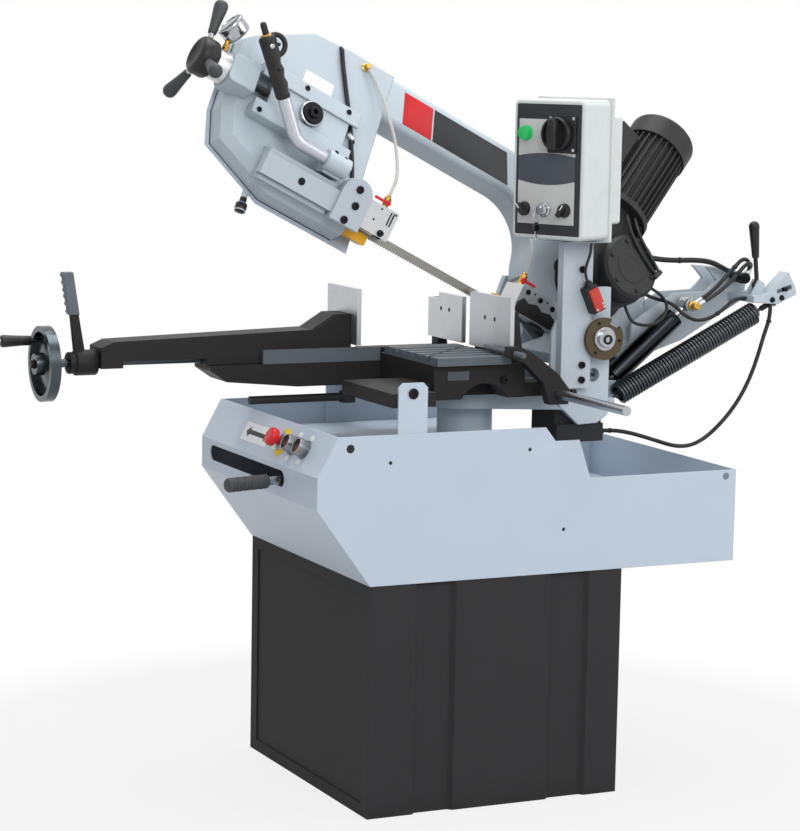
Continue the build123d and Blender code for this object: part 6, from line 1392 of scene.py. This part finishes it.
@dataclass
class Tension:
    """Tension handle, gauge and the screws on the slide rails."""

    hub_p: float = -695.0
    collar_p: float = -665.0
    n: float = 45.0
    stem: tuple[Vec, Vec] = ((-680.0, 178.65, 51.0), (-684.0, 212.65, 59.0))
    case: tuple[Vec, Vec] = ((-664.0, 226.65, 61.0), (-696.0, 238.65, 65.0))
    needle: float = -2.2
    rail_p: Vec = (-570.0, -480.0, -372.0)
    rail_q: float = 51.0
    rail_n: float = 61.0
    axle: Vec = (-455.0, WHEEL_Q, 55.7)

    def handle(self) -> None:
        """Dished black hub, bright stubs and three tapered grips."""
        shape = Shape("tension_hub")
        hub = [(0, -139), (8, -139), (8, 0), (30, 0), (36, 2), (40, 6), (42, 12), (42, 32), (40, 38),
               (36, 42), (31, 43.5), (26, 41), (20, 38), (10, 37), (0, 37)]
        shape.lathe(WHEELS.facing((self.hub_p, WHEEL_Q, self.n), (-1, 0, 0)), hub, BLACK, 60)
        grip = [(5.8, 55), (8.8, 55), (9.4, 57), (10.2, 70), (12.4, 92), (14.4, 108), (15.2, 118),
                (14.2, 124), (11, 128.6), (6, 130.8), (0, 131.2)]
        for q, n in circle(200.0, 3, radians(6.0)):
            seat = WHEELS.facing((self.hub_p - 22.0, WHEEL_Q, self.n), (-8.0, q, n))
            shape.lathe(seat, [(6, 34), (6, 58)], CHROME, 24)
            shape.lathe(seat, grip, GRIP)
        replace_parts(shape.build("tension", "black_plastic"), "tension_handle")

    def gauge(self) -> None:
        """Bright collar, brass stem and a chrome gauge with a ticked white dial."""
        shape = Shape("tension_dial")
        collar = [(8.05, 0), (32, 0), (34, 1), (34, 28), (33, 29.6), (8.05, 29.6)]
        shape.lathe(WHEELS.facing((self.collar_p, WHEEL_Q, self.n), (-1, 0, 0)), collar, ALLOY, 60, True)
        low, high = np.array(self.stem)
        stem = [(6, -2), (6, 6), (8, 8, 1), (8, 16, 1), (6, 18), (6, 38)]
        shape.lathe(WHEELS.facing(tuple(low), tuple(high - low)), stem, BRASS, 24)
        back, face = np.array(self.case)
        case = WHEELS.facing(tuple(back), tuple(face - back), (0, 1, 0))
        shape.lathe(case, [(0, 0), (24, 0), (28, 2), (30, 6), (30, 28), (31, 29), (31, 33), (30, 34.4),
                           (27.6, 34.4), (27, 33.4), (27, 30.4)], CHROME, 60)
        shape.lathe(case, [(27.2, 30), (27.2, 30.4), (0, 30.4)], WHITE, 60)
        for turn in np.radians(np.linspace(-135.0, 135.0, 28)):
            tick = case.facing((0.0, 0.0, 30.4), side=(cos(turn), sin(turn), 0.0))
            shape.slab(tick, rounded(2.4, 0.5, 0.2, (22.6, 0.0)), 0.0, 0.25, INK, 0.05)
        needle = case.facing((0.0, 0.0, 30.6), side=(cos(self.needle), sin(self.needle), 0.0))
        shape.slab(needle, np.array([(-6, -1.4), (20, -0.4), (20, 0.4), (-6, 1.4)]), 0.0, 0.6, INK, 0.1)
        shape.lathe(needle, [(3, 0), (3, 1.2), (0, 1.4)], CHROME, 24)
        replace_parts(shape.build("bow", "bright_steel"), "tension_gauge")
        glass = Shape("gauge_glass")
        dome = [(0, 32.4), (26.9, 32.4), (26.9, 33.0), (20, 33.9), (10, 34.3), (0, 34.4)]
        glass.lathe(case, dome, GLASS, 60)
        glass.build("bow", "bright_steel")

    def rails(self) -> None:
        """Socket screws along the slide rails, and the axle's cap with its socket."""
        shape = Shape("rail_screws")
        for side in (1.0, -1.0):
            for p in self.rail_p:
                shape.screw(WHEELS.facing((p, WHEEL_Q + side * self.rail_q, self.rail_n)), 6.0, 2.0)
        shape.build("bow", "black_plastic")
        cap = Shape("axle_cap")
        seat = WHEELS.facing(self.axle)
        cap.lathe(seat, [(27, 0), (27, 12), (25.5, 13)], BRIGHT, 48)
        cap.lathe(seat, [(24.6, 12), (24.6, 16), (23, 18.4), (13, 18.4), (12, 24), (11, 25), (6.5, 25, 1),
                         (6.5, 17, 1), (0, 17)], BLACKING, 48)
        cap.build("slide", "black_plastic")

    def build(self) -> None:
        """Dresses the tension unit."""
        self.handle()
        self.gauge()
        self.rails()


@dataclass
class PullHandle:
    """Moulded finger grip with its guard loop, post and boss screws."""

    x: float = 62.0
    foot: tuple[float, float] = (-546.0, 1099.0)
    long: float = 134.0
    boss_y: tuple[float, float] = (-390.0, -366.0)

    def grip(self) -> Array:
        """Radius of about eighteen, with three shallow finger waves on its back, swelling to the top.

        Returns:
            Grid (rows, columns, 3) along z.
        """
        share = np.linspace(0.0, 1.0, 61)[:, None]
        angle = (2.0 * pi * np.arange(48) / 48)[None, :]
        back = np.clip(np.sin(angle), 0.0, 1.0) ** 1.5
        wave = np.where(share < 0.66, 0.5 - 0.5 * np.cos(share / 0.66 * 6.0 * pi), 0.0)
        ends = np.clip(np.minimum(share, 1.0 - share) / 0.05, 0.0, 1.0) ** 0.5
        radius = (16.6 + 2.6 * share ** 2 - 3.6 * back * wave) * (0.72 + 0.28 * ends)
        high = np.broadcast_to(share * self.long, radius.shape)
        return np.stack([radius * 0.9 * np.cos(angle), radius * np.sin(angle), high], -1)

    def build(self) -> None:
        """Makes the grip, its post, guard loop, lock and rivet, and the boss screws."""
        half = 0.5 ** 0.5
        place = BOW.inner((self.x, *self.foot), (1, 0, 0), (0, half, half), (0, -half, half))
        shape = Shape("grip_moulding")
        shape.grid(place, self.grip(), BLACK, (True, True))
        shape.lathe(place.facing((0.0, 0.0, self.long - 2.0)), [(12, 0), (12, 5), (9, 6)], BRASS, 24)
        post = [(7, 0), (7, 22), (6, 27), (3, 29), (0, 29)]
        shape.lathe(place.facing((0.0, 0.0, self.long)), post, BLACK, 24)
        turn = np.linspace(-0.62 * pi, 0.62 * pi, 40)
        loop = np.stack([np.zeros(40), 13.0 + 22.0 * np.cos(turn), 110.0 + 22.0 * np.sin(turn)], -1)
        shape.tube(place, loop, 5.6, BLACK)
        lock = place.facing((15.6, 0.0, 112.0), (1, 0, 0))
        shape.lathe(lock, [(5, 0), (5, 1.6), (3, 2), (0, 2)], BRIGHT, 24)
        rivet = place.facing((14.6, 0.0, 62.0), (1, 0, 0))
        shape.lathe(rivet, [(4, 0), (4, 1.6), (2.4, 2), (0, 2)], BLACKING, 24)
        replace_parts(shape.build("bow", "black_plastic"), "handle_grip")
        screws = Shape("boss_screws")
        for y in self.boss_y:
            screws.screw(BOW.facing((self.x + 8.0, y, 1054.0), (0.36, 0, 0.93)), 4.0, 1.6)
        screws.build("bow", "black_plastic")


@dataclass
class BowDetails:
    """Bare label places, painted gap shade, strap cable, cover knob and screws on the bow."""

    label: float = 0.6
    band_q: tuple[float, float] = (262.0, 334.0)
    guide_x: float = 48.0
    guide_top: float = 1010.0
    plate_x: float = 74.0
    rear_x: float = 56.0
    tap_x: float = 16.0

    def labels(self) -> None:
        """Plain red and black bands on the arm and a bare white plate on the housing."""
        shape = Shape("arm_label")
        low, high = self.band_q
        red = np.array([(-228, low), (-150, low), (-166, high), (-244, high)])
        dark = np.array([(-146, low), (64, low), (40, high), (-162, high)])
        plate = rounded(37.0, 18.0, 1.5, (-446.0, 240.0))
        for outline, finish in ((red, BADGE_RED), (dark, PANEL_DARK), (plate, WHITE)):
            shape.slab(WHEELS, outline, ARM_N, ARM_N + self.label, finish, 0.2)
        shape.build("bow", "box_white")

    def gap_shade(self) -> None:
        """Dark strip of painted shade in the gap between the wheel cover's flange and the casting."""
        rim = np.array([(-280.0, 354.2), (-396.0, 354.2), (-488.0, 346.2), (-633.2, 259.2), (-633.2, 92.0),
                        (-613.2, 22.0), (-470.0, -39.2), (-280.0, -39.2)])
        shape = Shape("cover_gap_shade")
        # painted shade: a dark rubber strip along the flange stands for the shaded gap
        shape.slab(WHEELS, rim, -34.4, -32.0, RUBBER, 0.2)
        shape.build("bow", "cable_black")

    def knob(self) -> None:
        """Black knob on the wheel cover's lower edge."""
        shape = Shape("cover_knob")
        rows = [(7.4, 0), (7.4, 12), (11, 13), (12.6, 16), (12.6, 28), (11, 32), (7, 33.4), (0, 33.6)]
        shape.lathe(WHEELS.facing((-497.0, -46.0, -41.0), (0, -1, 0)), rows, BLACK)
        shape.build("bow", "black_plastic")

    def front_guide(self) -> None:
        """Screws of the guide bar and its end plate, the guide's slot and holes as dark marks of painted
        shade, its roller and top screws.
        """
        shape = Shape("guide_screws")
        for y, z in ((-308.0, 1010.0), (-302.0, 975.0), (-312.0, 938.0)):
            shape.screw(BOW.facing((self.plate_x, y, z), (1, 0, 0)), 8.5, 3.0)
        shape.screw(BOW.facing((66.0, -432.0, 966.0), (1, 0, 0)), 8.0, 1.5)
        # painted shade: the slot and the holes are flat dark marks for the shade inside them
        shape.slab(BOW.across(self.guide_x), rounded(5.0, 17.0, 5.0, (-204.0, 990.0)), 0.0, 0.6, INK, 0.1)
        for y, z in ((-232.0, 1002.0), (-240.0, 974.0), (-196.0, 1004.0)):
            shape.disc(BOW.facing((self.guide_x, y, z), (1, 0, 0)), 2.4, 0.5, INK)
        roller = [(9, 0), (13, 1), (13, 20), (9, 21), (6, 24, 1), (6, 30, 1), (0, 30)]
        shape.lathe(BOW.facing((26.0, -212.0, 954.0), (1, 0, 0)), roller, BLACKING)
        for y in (-246.0, -198.0):
            top = BOW.facing((14.0, y, self.guide_top))
            shape.lathe(top, [(5, 0), (5, 2), (2.6, 2.4, 1), (0, 2.4)], BLACKING, 24)
        shape.build("guide_arm", "black_plastic")

    def rear_guide(self) -> None:
        """Screws, dark underside and holes of the rear guide; the holes are flat dark discs of painted
        shade.
        """
        shape = Shape("rear_guide_screws")
        for y, z in ((164.0, 1000.0), (200.0, 997.0), (236.0, 993.0)):
            shape.screw(BOW.facing((self.rear_x, y, z), (1, 0, 0)), 6.0, 1.6)
        under = np.array([(150, 950), (252, 950), (252, 972), (236, 980), (214, 976), (196, 984), (176, 978),
                          (160, 984), (150, 972)])
        shape.slab(BOW.across(self.rear_x), under, 0.0, 3.0, IRON, 0.8)
        # painted shade: the holes are flat dark discs for the shade inside them
        for y, z in ((182.0, 1003.0), (218.0, 1000.0)):
            shape.disc(BOW.facing((self.rear_x, y, z), (1, 0, 0)), 2.4, 0.5, INK)
        shape.build("bow", "black_plastic")

    def taps(self) -> None:
        """Brass taps with hexagon bodies over the CAD ones."""
        rows = [(8.4, 0, 1), (8.4, 5, 1), (7.2, 6), (7.2, 18), (8.2, 19, 1), (8.2, 24, 1), (5.4, 25),
                (4.6, 27), (5.2, 28), (4.4, 30)]
        for name, y, body in (("front_tap", -216.0, "guide_arm"), ("rear_tap", 158.0, "bow")):
            shape = Shape(name + "_body")
            place = BOW.facing((self.tap_x, y, self.guide_top))
            shape.lathe(place, rows, BRASS, 24)
            spindle = place.facing((0.0, 0.0, 12.0), (1, 0, 0))
            shape.lathe(spindle, [(6.6, 2), (6.6, 7.2), (0, 7.2)], BRASS, 24)
            shape.build(body, "bright_steel")

    def strap(self) -> None:
        """Black cable that runs over the housing, with its clip."""
        spots = ((-424.0, 352.0, 8.0), (-421.0, 350.0, 34.0), (-414.0, 326.0, 36.0), (-386.0, 268.0, 35.4),
                 (-351.5, 200.0, 35.4), (-328.0, 140.0, 35.4), (-311.0, 96.0, 34.6), (-302.0, 74.0, 30.0))
        Cord("strap_cable", BOW, tuple(bow_point(*spot) for spot in spots), 4.6, "limp").fixed("bow")
        shape = Shape("strap_clip")
        clip = WHEELS.facing((-341.5, 165.0, ARM_N), side=(0.92, -0.38, 0.0))
        shape.slab(clip, rounded(9.0, 5.0, 2.0), 0.0, 11.4, BRIGHT, 1.5)
        shape.screw(WHEELS.facing((-330.0, 159.0, ARM_N)), 5.0, 5.0)
        shape.build("bow", "bright_steel")

    def build(self) -> None:
        """Dresses the bow."""
        self.labels()
        self.gap_shade()
        self.knob()
        self.front_guide()
        self.rear_guide()
        self.taps()
        self.strap()


@dataclass
class Drive:
    """Bolts, cover dish, lead clip and cowl rings of the gearbox and motor."""

    angle: float = radians(72.6)
    offset: float = -70.0
    n: float = 112.0
    cover_n: float = 190.0
    flange: float = 112.0
    cowl_end: float = 378.0
    cowl_rings: tuple[float, ...] = (20.0, 32.0, 44.0, 56.0)

    def station(self, along: float) -> Place:
        """A frame on the motor's axis, some way along it, with z along the axis.

        Args:
            along: How far from the gearbox.

        Returns:
            The frame.
        """
        c, s = cos(self.angle), sin(self.angle)
        spot = (GEAR_P + self.offset * s + along * c, WHEEL_Q - self.offset * c + along * s, self.n)
        return WHEELS.facing(spot, (c, s, 0.0), (0, 0, 1))

    def build(self) -> None:
        """Adds cover bolts, the cover's dish, the clip of the leads, flange bolts and cowl rings."""
        shape = Shape("gearbox_bolts")
        for p, q in circle(56.0, 6):
            shape.bolt(WHEELS.facing((GEAR_P + p, WHEEL_Q + q, self.cover_n)), 5.0, 4.0, DRIVE)
        dish = [(40, -1), (38, 1.2), (20, 1.4), (19, 0.6), (0, 0.6)]
        shape.lathe(WHEELS.facing((GEAR_P, WHEEL_Q, self.cover_n)), dish, DRIVE, 48)
        clip = WHEELS.facing((397.0, 161.0, self.cover_n), side=(0.88, -0.47, 0.0))
        shape.slab(clip, rounded(5.0, 13.0, 2.0), -2.0, 9.0, BLACK, 2.0)
        flange = self.station(self.flange)
        for x, y in circle(70.0, 4, pi / 4):
            shape.bolt(flange.facing((x, y, 0.0), (0, 0, -1)), 6.5, 8.0)
        for radius in self.cowl_rings:
            ring = [(radius - 4.0, -1.0), (radius - 3.0, 1.2), (radius + 3.0, 1.2), (radius + 4.0, -1.0)]
            shape.lathe(self.station(self.cowl_end), ring, DRIVE, 60)
        shape.build("bow", "motor_black")


# Studio


@dataclass
class Studio:
    """Floor, world, lamps and camera."""

    spot: Vec = (5.2340, -2.5802, 1.5713)
    azimuth: float = radians(64.505)
    pitch: float = radians(7.64)
    roll: float = radians(1.0529)
    lens: float = 117.0
    rims: tuple[float, ...] = (0.0, 1.0, 2.0, 4.0, 9.0)
    fade: tuple[float, float] = (1.1, 2.6)
    lamps: tuple[tuple[str, Vec, Vec, float, float], ...] = (
        ("key", (4.6, -0.6, 3.4), (0.0, 0.0, 0.9), 2.4, 90.0),
        ("fill", (2.6, 3.4, 2.6), (0.0, 0.2, 0.9), 2.4, 36.0),
        ("top", (-0.4, 0.4, 4.6), (0.0, 0.0, 0.9), 2.6, 96.0))

    def stand(self, made: bpy.types.Object, right: Array, up: Array, back: Array, spot: Vec) -> None:
        """Puts a camera or lamp in the scene.

        Args:
            made: The object.
            right: Its x axis.
            up: Its y axis.
            back: Its z axis, away from what it faces.
            spot: Where it stands, in metres.
        """
        matrix = np.eye(4)
        matrix[:3] = np.stack([right, up, back, spot], -1)
        made.matrix_world = Matrix(matrix.tolist())
        bpy.context.scene.collection.objects.link(made)

    def camera(self) -> None:
        """A camera at the photograph's angle: its back axis from azimuth and pitch, then the roll."""
        level = cos(self.pitch)
        back = np.array([sin(self.azimuth) * level, -cos(self.azimuth) * level, sin(self.pitch)])
        right = unit(np.cross(-back, (0.0, 0.0, 1.0)))
        up = np.cross(right, -back)
        turned = right * cos(self.roll) + up * sin(self.roll)
        upper = up * cos(self.roll) - right * sin(self.roll)
        data = bpy.data.cameras.new("camera")
        data.lens = self.lens
        data.clip_end = 60.0
        made = bpy.data.objects.new("camera", data)
        self.stand(made, turned, upper, back, self.spot)
        bpy.context.scene.camera = made

    def seen(self, g: Graph) -> Socket:
        """Finds the rays that should see white.

        Args:
            g: The graph to work in.

        Returns:
            One for rays from the camera, from gloss and through glass.
        """
        eye, gloss, glass = (g.node("LightPath", None, None, f"Is {ray} Ray")
                             for ray in ("Camera", "Glossy", "Transmission"))
        return (eye + gloss + glass).clamp()

    def floor(self) -> None:
        """A round pale floor that keeps the shadow near the saw and turns white far off."""
        radius = np.array(self.rims)[:, None] / MM
        angle = (2.0 * pi * np.arange(64) / 64)[None, :]
        level = np.full((len(self.rims), 64), -0.5)
        rings = np.stack([radius * np.cos(angle), radius * np.sin(angle), level], -1)
        shape = Shape("floor")
        shape.grid(MACHINE, rings, WHITE)
        made = shape.build(None)
        made.data.materials.clear()
        material = bpy.data.materials.new("floor_white")
        g = Graph(material)
        far = g.node("VectorMath", {"operation": "LENGTH"}, {0: g.coords()}, "Value")
        fade = g.node("MapRange", None, {0: far, 1: self.fade[0], 2: self.fade[1], 3: 0.0, 4: 1.0})
        cloud = g.noise(g.coords(), 3.0, 3.0)
        pale = g.mix(cloud, (0.48, 0.48, 0.48, 1.0), (0.52, 0.52, 0.52, 1.0))
        ground = g.node("BsdfDiffuse", None, {"Color": pale})
        white = g.node("Emission", None, {"Color": (1.0, 1.0, 1.0, 1.0), "Strength": 1.0})
        share = ((0.82 + fade) * self.seen(g)).clamp()
        mixed = g.node("MixShader", None, {0: share, 1: ground, 2: white})
        g.node("OutputMaterial", None, {"Surface": mixed})
        made.data.materials.append(material)

    def world(self) -> None:
        """White to the camera and to gloss, and a soft even light on the saw."""
        world = bpy.data.worlds.new("studio")
        bpy.context.scene.world = world
        g = Graph(world)
        seen = self.seen(g)
        shade = g.node("Background", None, {"Color": (0.96, 0.98, 1.0, 1.0), "Strength": 0.66})
        white = g.node("Background", None, {"Color": (1.0, 1.0, 1.0, 1.0), "Strength": 1.0})
        mixed = g.node("MixShader", None, {0: seen, 1: shade, 2: white})
        g.node("OutputWorld", None, {"Surface": mixed})

    def lamp(self, name: str, spot: Vec, aim: Vec, size: float, power: float) -> None:
        """A square soft lamp that faces a point.

        Args:
            name: Its name.
            spot: Where it stands, in metres.
            aim: What it faces.
            size: Its side in metres.
            power: Its power in watts.
        """
        data = bpy.data.lights.new(name, "AREA")
        data.shape, data.size, data.energy = "SQUARE", size, power
        made = bpy.data.objects.new(name, data)
        back = unit(np.array(spot) - np.array(aim))
        right = unit(np.cross((0.0, 0.0, 1.0), back))
        made.visible_camera = False
        self.stand(made, right, np.cross(back, right), back, spot)

    def build(self) -> None:
        """Sets up the studio."""
        bpy.context.scene.view_settings.view_transform = "Standard"
        self.camera()
        self.floor()
        self.world()
        for lamp in self.lamps:
            self.lamp(*lamp)


def dress_nodes(nodes: dict[str, bpy.types.Object]) -> None:
    """Gives every CAD node its finish.

    Args:
        nodes: The CAD objects by node name.
    """
    for name, node in nodes.items():
        node.data.materials.clear()
        node.data.materials.append(NODE_FINISH[name].material())


def main() -> None:
    """Builds the saw's looks in order."""
    logging.basicConfig(level=logging.INFO, format="%(message)s")
    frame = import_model()
    Studio().build()
    Cabling().build()
    dress_nodes(frame["nodes"])
    for part in (Springs, TrayFront, Vise, ControlBox, Turret, Tension, PullHandle, BowDetails, Drive):
        part().build()


if __name__ == "__main__":
    main()
